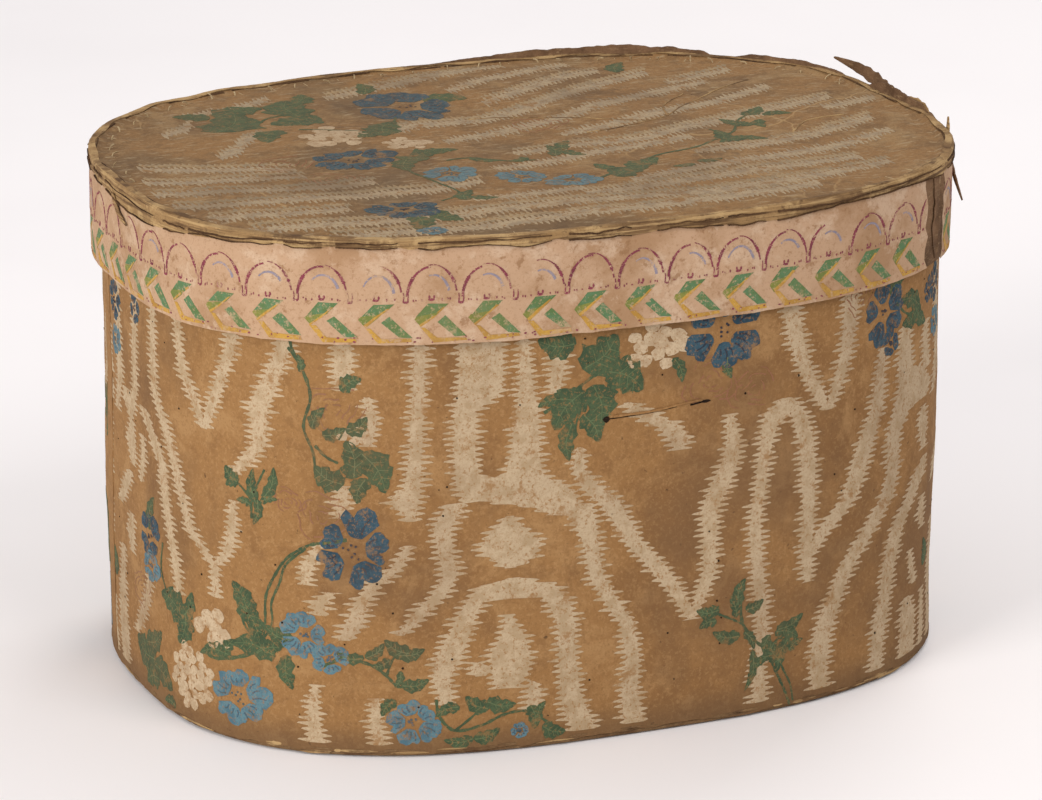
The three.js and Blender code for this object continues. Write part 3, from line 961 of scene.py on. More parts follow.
class Look:
    """A procedural material, built up layer by layer on one Principled shader."""

    def __init__(self, name, main, roughness=0.88, specular=0.2):
        self.material = bpy.data.materials.new(name)
        self.material.use_nodes = True
        self.nodes = self.material.node_tree.nodes
        self.links = self.material.node_tree.links
        self.shader = self.nodes["Principled BSDF"]
        self.shader.inputs["Roughness"].default_value = roughness
        self.shader.inputs["Specular IOR Level"].default_value = specular
        self.place = self.nodes.new("ShaderNodeTexCoord").outputs["Object"]
        self.colour = srgb(*main)

    def feed(self, socket, value):
        """Links an output to a socket, or sets the socket's value."""
        if isinstance(value, bpy.types.NodeSocket):
            self.links.new(value, socket)
        else:
            socket.default_value = value

    def node(self, kind, **inputs):
        node = self.nodes.new("ShaderNode" + kind)
        for name, value in inputs.items():
            self.feed(node.inputs[name.replace("_", " ")], value)
        return node

    def noise(self, scale, detail=4.0, rough=0.55, stretch=(1, 1, 1), distortion=0.0):
        mapping = self.node("Mapping", Vector=self.place, Scale=stretch)
        texture = self.node("TexNoise", Vector=mapping.outputs["Vector"], Scale=scale, Detail=detail,
                            Roughness=rough, Distortion=distortion)
        return texture.outputs["Fac"]

    def thin_lines(self, scale, width, wobble):
        """A mask of thin lines, for creases."""
        shift = self.node("TexNoise", Vector=self.place, Scale=scale * 1.5, Detail=5.0)
        bent = self.nodes.new("ShaderNodeVectorMath")
        bent.operation = "MULTIPLY_ADD"
        values = (shift.outputs["Color"], (wobble, wobble, wobble), self.place)
        for socket, value in zip(bent.inputs, values):
            self.feed(socket, value)
        cells = self.node("TexVoronoi", Vector=bent.outputs["Vector"], Scale=scale)
        cells.feature = "DISTANCE_TO_EDGE"
        return self.mask(cells.outputs["Distance"], width, 0.0)

    def mask(self, value, start, end):
        """0 at start and 1 at end, smooth between."""
        rising = start < end
        node = self.node("MapRange", Value=value, From_Min=min(start, end), From_Max=max(start, end),
                         To_Min=0.0 if rising else 1.0, To_Max=1.0 if rising else 0.0)
        node.interpolation_type = "SMOOTHSTEP"
        return node.outputs["Result"]

    def height(self):
        return self.node("SeparateXYZ", Vector=self.place).outputs["Z"]

    def times(self, one, other):
        node = self.nodes.new("ShaderNodeMath")
        node.operation = "MULTIPLY"
        self.feed(node.inputs[0], one)
        self.feed(node.inputs[1], other)
        return node.outputs["Value"]

    def paint(self, colour, mask):
        """Lays a colour over what is there, where the mask says."""
        node = self.nodes.new("ShaderNodeMix")
        node.data_type = "RGBA"
        self.feed(node.inputs[MIX_FACTOR], mask)
        self.feed(node.inputs[MIX_UNDER], self.colour)
        self.feed(node.inputs[MIX_OVER], srgb(*colour))
        self.colour = node.outputs[MIX_RESULT]

    def blotches(self, colour, size, edge, part=None, stretch=(1, 1, 1), distortion=0.0):
        """Paints a colour in blotches.

        size is the noise's (scale, detail, roughness), edge is where a blotch (starts, is full), and part
        is how much of the colour is laid.
        """
        mask = self.mask(self.noise(*size, stretch=stretch, distortion=distortion), *edge)
        self.paint(colour, mask if part is None else self.times(mask, part))

    def done(self, *bumps):
        """bumps: (height output, distance in millimetres, strength)"""
        self.links.new(self.colour, self.shader.inputs["Base Color"])
        normal = None
        for value, distance, strength in bumps:
            bump = self.node("Bump", Height=value, Distance=distance * MM, Strength=strength)
            if normal:
                self.links.new(normal, bump.inputs["Normal"])
            normal = bump.outputs["Normal"]
        self.links.new(normal, self.shader.inputs["Normal"])
        return self.material


def wallpaper_ground(name, main, dark, light, grime):
    """Ochre distemper brushed on rag paper, stained and rubbed."""
    look = Look(name, main, roughness=0.9, specular=0.16)
    look.blotches(dark, (13, 6, 0.6), (0.45, 0.62), 0.6)
    look.blotches(light, (26, 7, 0.65), (0.5, 0.64), 0.6, distortion=0.6)
    look.blotches(dark, (95, 6, 0.7), (0.5, 0.62), 0.45)
    look.blotches(light, (430, 4, 0.75), (0.5, 0.62), 0.5)
    look.blotches(dark, (700, 4, 0.75), (0.52, 0.64), 0.5)
    look.blotches(SPECK, (260, 3, 0.6), (0.68, 0.76), 0.7)
    look.blotches(grime, (7, 5, 0.65), (0.48, 0.66), 0.6)
    return look


def rag_paper_bumps(look):
    """Dents, and the paper's fibres."""
    return [(look.noise(70, 5, 0.6), 0.9, 0.35), (look.noise(900, 3, 0.7), 0.12, 0.35)]


def side_ground():
    look = wallpaper_ground("side_wallpaper_ground", OCHRE, (118, 84, 51), (160, 124, 82), (104, 77, 52))
    # the side's paper is painted darker towards its foot
    darker_foot = look.mask(look.height(), 0.024, 0.004)
    look.paint((92, 70, 50), look.times(darker_foot, 0.6))
    return look.done(*rag_paper_bumps(look))


def lid_ground():
    """The lid's paper is flecked with what is left of its print, patched with dirt and creased."""
    look = wallpaper_ground("lid_wallpaper_ground", LID_OCHRE, (100, 76, 51), (150, 121, 84), (94, 77, 58))
    look.blotches((158, 138, 108), (85, 6, 0.72), (0.54, 0.64), 0.6, stretch=(1, 4, 1))
    look.blotches((84, 64, 46), (22, 6, 0.72), (0.54, 0.66), 0.5)
    patchy = look.mask(look.noise(9, 3), 0.45, 0.6)
    look.paint((176, 146, 102), look.times(look.times(look.thin_lines(9, 0.010, 0.06), patchy), 0.45))
    return look.done((look.thin_lines(9, 0.02, 0.06), 0.4, 0.35), *rag_paper_bumps(look))


def ink(name, main, second, ground, wear, grime=(128, 104, 80), grime_part=0.35):
    """Distemper ink, uneven in the block and rubbed through to the ground."""
    look = Look(name, main, roughness=0.86, specular=0.18)
    look.blotches(second, (120, 5, 0.65), (0.45, 0.6))
    look.blotches(second, (800, 4, 0.75), (0.48, 0.6), 0.7)
    look.blotches(ground, (520, 5, 0.75), (0.53, 0.62), wear)
    look.blotches(ground, (75, 6, 0.75), (0.55, 0.66), wear)
    look.blotches(grime, (11, 5, 0.6), (0.48, 0.75), grime_part)
    return look.done((look.noise(500, 4, 0.7), 0.14, 0.4), (look.noise(70, 5, 0.6), 0.9, 0.3))


def paper(name, main, dark, light, spots, roughness=0.9, layered=False):
    """Stained paper. A layered one is torn, and shows the edges of its layers."""
    look = Look(name, main, roughness=roughness, specular=0.18)
    look.blotches(dark, (17, 6, 0.65), (0.46, 0.62), 0.8)
    look.blotches(light, (45, 6, 0.7), (0.5, 0.62), 0.8)
    look.blotches(spots, (110, 5, 0.7), (0.58, 0.68), 0.7)
    look.blotches(dark, (700, 3, 0.7), (0.52, 0.7), 0.5)
    look.blotches(spots, (330, 5, 0.75), (0.55, 0.66), 0.45)
    bumps = [(look.noise(60, 5, 0.6), 0.9, 0.35), (look.noise(850, 3, 0.7), 0.12, 0.4)]
    if layered:
        layers = look.noise(90, 5, 0.6, stretch=(0.2, 0.2, 7.0))
        look.paint(spots, look.times(look.mask(layers, 0.52, 0.62), 0.85))
        look.paint(light, look.times(look.mask(layers, 0.46, 0.38), 0.7))
        bumps.append((layers, 0.8, 0.6))
    return look.done(*bumps)


def board(name, main, dark, light):
    """Grey-brown pasteboard, fibrous where it is torn or worn."""
    look = Look(name, main, roughness=0.95, specular=0.1)
    look.blotches(dark, (35, 7, 0.7), (0.42, 0.66))
    look.blotches(light, (210, 5, 0.7), (0.52, 0.74), stretch=(1, 1, 4))
    look.blotches(dark, (800, 4, 0.75), (0.5, 0.68), 0.6)
    strands, fuzz = look.noise(160, 6, 0.7, stretch=(1, 1, 4)), look.noise(900, 3, 0.7)
    return look.done((strands, 0.8, 0.6), (fuzz, 0.2, 0.5))


def linen(name):
    look = Look(name, (166, 144, 108), roughness=0.7, specular=0.3)
    look.blotches((122, 98, 68), (160, 4, 0.6), (0.45, 0.7))
    look.blotches((190, 172, 138), (1500, 3, 0.7), (0.55, 0.72))
    return look.done((look.noise(2200, 3, 0.7, stretch=(1, 1, 3)), 0.15, 0.6))


OCHRE = (140, 103, 63)
LID_OCHRE = (134, 100, 63)
BORDER_PINK = (176, 146, 116)
GRIME = (128, 104, 80)
SPECK = (66, 46, 30)
PLANT_INKS = {  # main and second colour, wear, grime and how much of it
    "rose": ((134, 92, 68), (126, 87, 62), 0.9, GRIME, 0.35),
    "green": ((72, 86, 60), (58, 73, 52), 0.6, (88, 78, 56), 0.5),
    "blossom": ((184, 163, 134), (166, 143, 114), 0.7, GRIME, 0.35),
    "vein": ((94, 106, 74), (84, 96, 66), 0.7, GRIME, 0.35),
    "dark_blue": ((54, 80, 92), (41, 62, 74), 0.7, (66, 68, 70), 0.4),
    "light_blue": ((88, 118, 126), (70, 100, 112), 0.7, (94, 94, 88), 0.3),
    "mark": ((38, 48, 62), (46, 44, 50), 0.6, GRIME, 0.35),
    "shade": ((62, 86, 102), (74, 82, 80), 0.7, GRIME, 0.35),
}
BORDER_INKS = {
    "crimson": ((126, 58, 70), (112, 52, 64), 1.0, (140, 96, 86), 0.3),
    "lavender": ((136, 126, 134), (122, 116, 128), 1.0, GRIME, 0.35),
    "green": ((84, 114, 80), (84, 106, 64), 0.7, (120, 116, 66), 0.5),
    "olive": ((124, 122, 58), (104, 112, 58), 0.6, (110, 100, 58), 0.4),
    "yellow": ((178, 138, 62), (160, 120, 54), 0.7, GRIME, 0.35),
}


def ink_set(prefix, table, ground, fade=0.0):
    """The inks of a table, faded towards the paper they are printed on."""

    def faded(colour):
        return tuple(c + (g - c) * fade for c, g in zip(colour, ground))

    return {
        name: ink(f"{prefix}_{name}_ink", faded(main), faded(second), ground, wear, faded(grime),
                  grime_part)
        for name, (main, second, wear, grime, grime_part) in table.items()
    }


SIDE_GROUND = side_ground()
LID_GROUND = lid_ground()
SIDE_INKS = ink_set("side", PLANT_INKS, OCHRE)
SIDE_INKS["cream"] = ink("cream_ink", (176, 155, 126), (160, 137, 106), OCHRE, 0.8)
LID_INKS = ink_set("lid", PLANT_INKS, LID_OCHRE, fade=0.14)
LID_CREAM_INK = ink("lid_cream_ink", (160, 140, 111), (140, 122, 98), LID_OCHRE, 1.0, (108, 88, 66), 0.7)
LID_FADED_INK = ink("lid_faded_ink", (152, 128, 94), (134, 116, 90), LID_OCHRE, 1.0, (104, 88, 68), 0.7)
BORDER_GROUND = paper("border_paper_ground", (174, 142, 113), (150, 116, 84), (186, 159, 133),
                      (132, 96, 64))
BORDER_LOOKS = ink_set("border", BORDER_INKS, BORDER_PINK)
FOLD_LOOK = paper("folded_edge_paper", (144, 114, 76), (104, 78, 52), (176, 146, 102), (80, 57, 38), 0.94,
                  True)
LINING_LOOK = paper("lining_paper", (178, 160, 126), (156, 134, 100), (190, 176, 146), (120, 90, 58))
BOARD_LOOK = board("pasteboard", (116, 90, 62), (88, 64, 44), (142, 116, 84))
TORN_LOOK = board("torn_pasteboard", (118, 90, 66), (86, 64, 46), (146, 120, 90))
# near black: painted shade inside the side's slit and worm holes
HOLE_SHADE_LOOK = board("painted_hole_shade", (40, 28, 20), (28, 20, 15), (60, 42, 28))
# dark brown for the painted shade lines in the creases and gaps round the lid's edge
PAINTED_SHADE_LOOK = board("painted_crease_shade", (84, 60, 40), (56, 39, 27), (112, 84, 56))
THREAD_LOOK = linen("linen_thread")


# ---------------------------------------------------------------- the box

SIDE_SEAM = 0.32 * ROUND  # s of the seam in the side's board
RIM_SEAM = -0.037 * ROUND


def foot_edge(s):
    """The worn lower edge of the side's paper."""
    x, y, _, _ = OVAL.at(s)
    rough = wavy(x, y, 0, 26, 11) + 0.6 * wavy(x, y, 0, 6, 12) + 0.3 * wavy(x, y, 0, 2.2, 13)
    return 2.3 + 0.9 * max(rough, -1.2)


def side_over_edge(s, v, out):
    """The side's paper as it runs up the side, over the top edge and down inside."""
    top = WALL_TOP + FACE
    width = FACE + BOARD + FACE
    if v < top:
        return side(s, v, out)
    if v < top + width:
        point = side(s, top, -(v - top) + (out if v == top else 0))
        point.z += out
        return point
    return side(s, top - (v - top - width), -width - out)


def side_paper_heights(s):
    top, width = WALL_TOP + FACE, FACE + BOARD + FACE
    rising = [foot_edge(s) + (top - 1 - foot_edge(s)) * i / 34 for i in range(35)]
    over_edge = [top, top + width / 2, top + width + 0.3]
    return rising + over_edge + [top + width + TURN_IN * i / 3 for i in (1, 2, 3)]


def base_under(x, y):
    """The base's lower face, a little raised round its edge."""
    return 0.65 * smooth(14, 9, edge_distance(x, y, 0.0))


def make_box_boards():
    hoop("side_board_strip", side, -FACE, -FACE - BOARD, WALL_FOOT, WALL_TOP, SIDE_SEAM, look=BOARD_LOOK,
         body="box", slot="pasteboard", replaced=["side_board"])
    oval_plate("base_plate", -0.35 - LEAN, base_under, lambda x, y: BASE_TOP, rounding=0.6, look=BOARD_LOOK,
               body="box", slot="pasteboard", replaced=["base_board"])


def lapped(s, z, out):
    """The edge of the side's paper, where it lies over its other end."""
    x, y, _, _ = OVAL.at(s)
    return side(s, z, out + PAPER + 0.05 + 0.12 * max(0, wavy(x, y, z, 12, 8)))


def cockled(x, y):
    """The upper face of the lining on the base."""
    return BASE_TOP + 0.7 + 0.35 * wavy(x, y, 0, 50, 4) + 0.1 * wavy(x, y, 0, 12, 6)


def make_box_papers():
    us = steps(0, ROUND, 4.0)[:-1]
    sheet("side_wallpaper", side_over_edge, us, side_paper_heights, PAPER, True, look=SIDE_GROUND,
          body="box", slot="wallpaper", replaced=["side_paper"])
    lap = steps(SHEET_START - 7, SHEET_START + 7, 2.0)
    sheet("side_wallpaper_lap", lapped, lap, steps(PAPER_FOOT + 3, WALL_TOP - 1, 8), PAPER, False,
          look=SIDE_GROUND, body="box", slot="wallpaper")
    inside = FACE + BOARD + 0.1 + LINING
    sheet("side_lining_paper", lambda s, z, out: side(s, z, -inside - out), us[::-1],
          steps(BASE_TOP + 1.2, WALL_TOP - TURN_IN + 2, 9), LINING, True, look=LINING_LOOK, body="box",
          slot="lining_paper", replaced=["side_lining"])
    oval_plate("base_lining_paper", -LEAN - BOARD - 1.2, lambda x, y: cockled(x, y) - LINING, cockled,
               rounding=0.15, look=LINING_LOOK, body="box", slot="lining_paper", replaced=["base_lining"])


def whip_stitches(name, surface, corners, spacing, body, node):
    """Slanted loops of thread. corners are (out, z), taken round one stitch."""
    parts = []
    count = round(ROUND / spacing)
    for k in range(count):
        s = (k + 0.5) * ROUND / count
        loop = []
        for i, (out, z) in enumerate(corners + corners[:1]):
            loop.append(surface(s + STITCH_SLANT * i / len(corners), z, out))
        fine = []
        for a, b in zip(loop, loop[1:]):
            fine += [a.lerp(b, 0.08), a.lerp(b, 0.5), a.lerp(b, 0.92)]
        parts.append(tube(fine, WHIP_RADIUS))
    points, faces = joined(parts)
    return make(name, points, faces, look=THREAD_LOOK, body=body, slot="thread", replaced=[node])


def running_stitches(name, surface, s, inner, outer, foot, top, count, body, node):
    points = []
    for i in range(count):
        z = foot + (top - foot) * i / (count - 1)
        pair = [surface(s, z, outer), surface(s + 1.5, z + 1.0, inner)]
        points += pair if i % 2 == 0 else pair[::-1]
    fine = []
    for a, b in zip(points, points[1:]):
        fine += [a.lerp(b, 0.06), a.lerp(b, 0.5), a.lerp(b, 0.94)]
    made, faces = tube(fine, RUNNING_RADIUS)
    return make(name, made, faces, look=THREAD_LOOK, body=body, slot="thread", replaced=[node])


def make_box_threads():
    inner = -FACE - BOARD - 0.6
    corners = [(inner, BASE_TOP + 10), (-FACE - 0.35, BASE_TOP + 10), (-1.9, 1.9), (-3.0, 0.5), (-11, 0.38),
               (-11, BASE_TOP + 0.4), (inner - 0.4, BASE_TOP + 1.0)]
    whip_stitches("base_sewing", side, corners, STITCH_PITCH, "box", "base_thread")
    running_stitches("side_seam_sewing", side, SIDE_SEAM + 13, inner + 0.1, -FACE - 0.2, 22, WALL_TOP - 10,
                     22, "box", "side_seam_thread")


def on_side(v):
    """The stretch of s that the paper's streaks may fill at a height."""
    return (SHEET_START + 0.5, SHEET_END - 0.5) if v > foot_edge(0) else None


def on_sheet(u, v, reach):
    """Whether a plant of that reach stays on the side's paper."""
    return SHEET_START + reach < u < SHEET_END - reach and v + 0.6 * reach < WALL_TOP - 1


def make_side_print():
    inks = flat_inks(PLANT_INK_HEIGHTS)
    strokes = []
    for repeat in (-1, 0, 1, 2):
        shift = PRINT_START + repeat * SHEET_WIDTH
        strokes += [[(u + shift, v, w) for u, v, w in stroke] for stroke in STROKES]
        plants = placed(SIDE_PLANTS, lambda u, v: (u + shift, v))
        print_plants(inks, plants, on_sheet, dark_spread=0.44)
    streaks(inks["cream"], strokes, 7.0, WALL_TOP - 0.5, on_side)
    lay_inks("side", inks, PLANT_INK_HEIGHTS, side, "box", "wallpaper", SIDE_INKS)


def side_holes(dice):
    """A slit in the side's paper, worm holes and small specks, near black: painted shade inside the slit
    and holes.
    """
    holes = Flat()
    ribbon(holes, [(-20, 179), (0, 179.4), (18, 181)], 0.5, taper=0.3)
    spot(holes, (-22, 179), 2.0, 1.9)
    spot(holes, (35, 182), 2.6, 0.9)
    ribbon(holes, [(26, 181), (36, 182.2)], 0.9, taper=0.3)
    for _ in range(150):
        size = dice.uniform(0.25, 0.75)
        at = (dice.uniform(SHEET_START + 5, SHEET_END - 5), dice.uniform(10, 270))
        spot(holes, at, size, size, 6)
    return holes


def foot_spots(dice, number, heights, lengths, depths, corners):
    """Long low spots round the side's foot. heights, lengths and depths are each (least, most)."""
    flat = Flat()
    for _ in range(number):
        at = (dice.uniform(SHEET_START + 16, SHEET_END - 16), dice.uniform(*heights))
        spot(flat, at, dice.uniform(*lengths), dice.uniform(*depths), corners)
    return flat


def make_side_wear():
    """The worn foot, the holes and the slit's raised lip."""
    dice = random.Random(11)
    holes = side_holes(dice)
    worn = foot_spots(dice, 90, (2.2, 4.6), (1.5, 9), (0.3, 1.1), 11)
    laid("side_foot_wear", worn, side, 0.2, look=BOARD_LOOK, body="box", slot="pasteboard")
    scuffs = foot_spots(dice, 48, (1.6, 4.0), (2, 12), (0.3, 1.2), 13)
    laid("side_foot_scuffs", scuffs, side, 0.26, look=FOLD_LOOK, body="box", slot="wallpaper")
    # the slit and holes are near black with painted shade
    laid("side_paper_holes", holes, side, 0.27, look=HOLE_SHADE_LOOK, body="box", slot="pasteboard")
    lip = Flat()
    ribbon(lip, [(-18, 180.2), (4, 180.4), (20, 182.2), (32, 183.2)], 1.3, taper=0.4)
    laid("side_paper_slit_lip", lip, side, 0.75, look=SIDE_GROUND, body="box", slot="wallpaper")


# ---------------------------------------------------------------- the lid


PATCH = (184.0, 208.0)  # where the border paper is lost and the board shows


def border_edge(s, level, size, seed):
    """The height of a torn edge near a level."""
    x, y, _, _ = OVAL.at(s)
    return level + size * (0.7 * wavy(x, y, level, 17, seed) + 0.5 * wavy(x, y, level, 4, seed + 1))


def fold_depth(s):
    """How far down the rim the lid's turned paper reaches."""
    x, y, _, _ = OVAL.at(s)
    broad = 1.6 * wavy(x, y, 0, 90, 21) + 1.3 * wavy(x, y, 0, 22, 22) + 0.7 * wavy(x, y, 0, 6, 23)
    left = 3.0 * math.exp(-(((s % ROUND) - (ROUND - 262)) / 60) ** 2)
    return max(1.9, 3.4 + 0.7 * broad + left)


def lid_under(x, y):
    """The lid board's lower face, which sags a little."""
    return LID_BOARD_FOOT + 0.35 * wavy(x, y, 0, 110, 2) * smooth(4, 26, edge_distance(x, y))


def lid_board_top(x, y):
    return LID_BOARD_TOP - 1.6 + lid_under(x, y) - LID_BOARD_FOOT


def make_lid_boards():
    hoop("rim_board_strip", rim, -FACE, -FACE - BOARD, RIM_FOOT, LID_BOARD_TOP, RIM_SEAM, look=TORN_LOOK,
         body="lid", slot="pasteboard", replaced=["rim_board"])
    oval_plate("lid_plate", RIM_IN - 0.3, lid_under, lid_board_top, rounding=0.4, look=BOARD_LOOK,
               body="lid", slot="pasteboard", replaced=["lid_board"])
    oval_plate("lid_lining_paper", RIM_IN - BOARD - 0.6, lambda x, y: lid_under(x, y) - 0.45,
               lambda x, y: lid_under(x, y) - 0.15, rounding=0.15, look=LINING_LOOK, body="lid",
               slot="lining_paper", replaced=["lid_lining"])


def lid_paper_top(x, y):
    return LID_TOP + lid_relief(x, y)


def turned_paper(s, v, out):
    """The lid's turned paper: from the lid's upper face (v < 0) round its edge and down the rim."""
    x, y, nx, ny = OVAL.at(s)
    lift = 0.25 + 0.35 * max(0, wavy(x, y, v, 18, 31)) + 0.25 * abs(wavy(x, y, v, 5, 32))
    if v > 0:
        return rim(s, LID_TOP + 0.9 - v, lift + 0.25 + out)
    reach = RIM_OUT + FACE + 0.3 + v
    px, py = x + nx * reach, y + ny * reach
    return Vector((px, py, lid_paper_top(px, py) + 0.25 + lift * 0.5 + out))


def turned_rows(s):
    """Places across the turned paper, from its edge on the lid to its edge on the rim."""
    over_edge = [-4.2 - 0.8 * math.sin(s / 7), -3.0, -1.6, -0.6, 0.5, 1.5]
    return over_edge + [1.5 + (fold_depth(s) - 1.5) * i / 5 for i in range(1, 6)]


def crumpled(s, z, out):
    """The layer of paper that shows below the turned edge."""
    x, y, _, _ = OVAL.at(s)
    return rim(s, z, out + 0.35 + 0.5 * abs(wavy(x, y, z, 9, 41)) + 0.3 * max(0, wavy(x, y, z, 30, 42)))


def crumpled_rows(s):
    top = LID_TOP + 0.6 - 0.72 * fold_depth(s)
    foot = min(top - 0.9, LID_TOP - 1.0 - fold_depth(s + 37) * 1.15)
    return [foot + (top - foot) * i / 4 for i in range(5)]


def tear_near(s):
    """1 at the torn ends of the border paper, and 0 away from them."""
    return max(smooth(7, 0, abs(s - PATCH[1])), smooth(7, 0, abs(s - PATCH[0] - ROUND)))


def border_face(s, z, out):
    """The border paper, ragged at its torn ends."""
    return rim(s + 2.2 * wavy(z, s / 50, 0, 7, 3) * tear_near(s), z, out)


def border_rows(s):
    foot, top = border_edge(s, RIM_FOOT - 0.4, 0.35, 51), LID_TOP - 2.6
    return [foot + (top - foot) * i / 9 for i in range(10)]


def make_lid_papers():
    oval_plate("lid_wallpaper", RIM_OUT + FACE, lambda x, y: lid_paper_top(x, y) - PAPER, lid_paper_top,
               rounding=0.3, ring_step=4.0, look=LID_GROUND, body="lid", slot="wallpaper",
               replaced=["lid_paper"])
    us = steps(0, ROUND, 2.5)[:-1]
    sheet("lid_paper_turn_down", turned_paper, us, turned_rows, PAPER, True, look=FOLD_LOOK, body="lid",
          slot="wallpaper")
    sheet("lid_paper_under_layer", crumpled, us, crumpled_rows, PAPER, True, look=FOLD_LOOK, body="lid",
          slot="wallpaper")


def make_rim_papers():
    around = steps(PATCH[1], PATCH[0] + ROUND, 4.0)
    sheet("rim_border_paper", border_face, around, border_rows, PAPER, False, look=BORDER_GROUND,
          body="lid", slot="border_paper", replaced=["rim_paper"])
    inside = FACE + BOARD + 0.1 + LINING
    every = steps(0, ROUND, 5.0)[:-1]
    sheet("rim_lining_paper", lambda s, z, out: rim(s, z, -inside - out), every[::-1],
          steps(RIM_FOOT + 0.8, LID_BOARD_FOOT - 1.2, 6), LINING, True, look=LINING_LOOK, body="lid",
          slot="lining_paper", replaced=["rim_lining"])


def make_lip_shade_lines(dice):
    """Dark broken lines of painted shade where the lid's paper has come away inside its turned edge."""
    thin_lines, s = Flat(), 0.0
    while s < ROUND:
        length = dice.uniform(14, 60)
        line = []
        for i in range(8):
            x, y, nx, ny = OVAL.at(s + length * i / 7)
            reach = RIM_OUT - 3.6 - 0.7 * wavy(x, y, 0, 14, 71)
            line.append((x + nx * reach, y + ny * reach))
        ribbon(thin_lines, line, dice.uniform(0.5, 1.2), taper=0.6)
        s += length + dice.uniform(2, 16)
    # the lines are laid on the lid's face as painted shade
    laid("lid_lip_painted_shade", thin_lines, lid_face, 0.22, look=PAINTED_SHADE_LOOK, body="lid", slot="pasteboard")


def make_fold_shade_lines(dice):
    """Broken dark lines of painted shade along the crease in the middle of the turned edge and at its foot.
    """
    thin_lines, s = Flat(), 4.0
    while s < ROUND - 40:
        length = dice.uniform(16, 70)
        places = [s + length * i / 9 for i in range(10)]
        middle = [(u, LID_TOP + 0.4 - 0.62 * fold_depth(u) + 0.25 * math.sin(u)) for u in places]
        ribbon(thin_lines, middle, dice.uniform(0.5, 1.1), taper=0.5)
        foot = [(u, LID_TOP - 1.0 - 1.15 * fold_depth(u + 37) - 0.1) for u in places]
        ribbon(thin_lines, foot, dice.uniform(0.4, 0.8), taper=0.5)
        s += length + dice.uniform(1, 12)
    laid("lid_fold_painted_shade", thin_lines, rim, 1.35, look=PAINTED_SHADE_LOOK, body="lid", slot="pasteboard")


def make_lid_threads():
    inner = -FACE - BOARD - 0.6
    hole, over, under = LID_TOP - 12, LID_TOP - 0.9, LID_BOARD_FOOT - 0.7
    corners = [(inner, hole), (-FACE - 0.2, hole), (-FACE - 0.2, over - 0.3), (-2.5, over), (-13.5, over),
               (-13.5, under), (inner - 0.4, under - 0.1)]
    whip_stitches("lid_sewing", rim, corners, STITCH_PITCH, "lid", "lid_thread")
    running_stitches("rim_seam_sewing", rim, RIM_SEAM + 13, inner + 0.1, -FACE - 0.2, RIM_FOOT + 5,
                     LID_TOP - 17, 8, "lid", "rim_seam_thread")


def thread_end(s, dice):
    """A short loose end of thread on the lid, at s."""
    x, y, nx, ny = OVAL.at(s)
    reach = RIM_OUT - dice.uniform(8, 12)
    foot = lid_face(x + nx * reach, y + ny * reach, -0.3)
    way = Vector((dice.uniform(-1, 1), dice.uniform(-1, 1), 0.5)) * dice.uniform(2.0, 3.8)
    mid = foot + Vector((0, 0, dice.uniform(0.8, 1.5))) + way * 0.3
    bend = mid + way * 0.5 + Vector((0, 0, -0.2))
    return tube([foot, mid, bend, mid + way + Vector((0, 0, -0.9))], 0.42, 5)


def make_thread_ends():
    """Loose ends of thread round the back and the right of the lid."""
    dice = random.Random(5)
    count, first, stretch = 34, 0.29 * ROUND, 0.46 * ROUND
    ends = [thread_end(first + k * stretch / (count - 1) + dice.uniform(-3, 3), dice) for k in range(count)]
    points, faces = joined(ends)
    make("lid_thread_ends", points, faces, look=THREAD_LOOK, body="lid", slot="thread")


def on_lid(x):
    """The stretch of y that the lid's streaks may fill at x."""
    width = half_width_at(x, RIM_OUT - 7)
    return (-width, width) if width > 4 else None


LID_PRINT_TURN = 0.065  # the lid's paper is pasted on a little askew
LID_PRINT_SHIFT = (4.5, 1.0)


def askew(x, y):
    return x - LID_PRINT_TURN * y + LID_PRINT_SHIFT[0], y + LID_PRINT_TURN * x + LID_PRINT_SHIFT[1]


# creases in the lid's paper, where the print has cracked off: (x, y)
LID_CREASES = [
    [(-9, 57), (18, 52), (42, 40), (82, 16)],
    [(42, 7), (70, 12), (95, 20), (116, 42), (148, 68), (174, 83)],
    [(96, 20), (104, 44), (126, 66)],
    [(150, -30), (166, -14), (190, -10)],
]


def make_lid_creases():
    creases = Flat()
    for points in LID_CREASES:
        ribbon(creases, points, 1.3, taper=0.5)
    laid("lid_creases", creases, lid_face, 0.28, look=FOLD_LOOK, body="lid", slot="wallpaper")


def across_lid(y, x, out):
    """The lid's face for streaks, which run along it."""
    return lid_face(x, y, out)


def on_lid_paper(x, y, reach):
    """Whether a plant of that reach stays clear of the lid's edge."""
    return edge_distance(x, y) > 7 + 0.3 * reach


def make_lid_print():
    strokes = [[(*askew(x, y)[::-1], half) for y, x, half in stroke] for stroke in LID_STROKES]
    between_them = [
        [(y + 9, x + 3, 0.55 * half) for y, x, half in stroke] for stroke in strokes[::2] + strokes[1:8:2]
    ]
    faded, cream = Flat(), Flat()
    streaks(faded, between_them, -HALF_X, HALF_X, on_lid)
    streaks(cream, strokes, -HALF_X, HALF_X, on_lid)
    laid("lid_faded_print", faded, across_lid, 0.07, swap=True, look=LID_FADED_INK, body="lid",
         slot="wallpaper")
    laid("lid_cream_print", cream, across_lid, 0.10, swap=True, look=LID_CREAM_INK, body="lid",
         slot="wallpaper")
    inks = flat_inks(PLANT_INK_HEIGHTS)
    print_plants(inks, placed(LID_PLANTS, askew), on_lid_paper)
    lay_inks("lid", inks, PLANT_INK_HEIGHTS, lid_face, "lid", "wallpaper", LID_INKS)


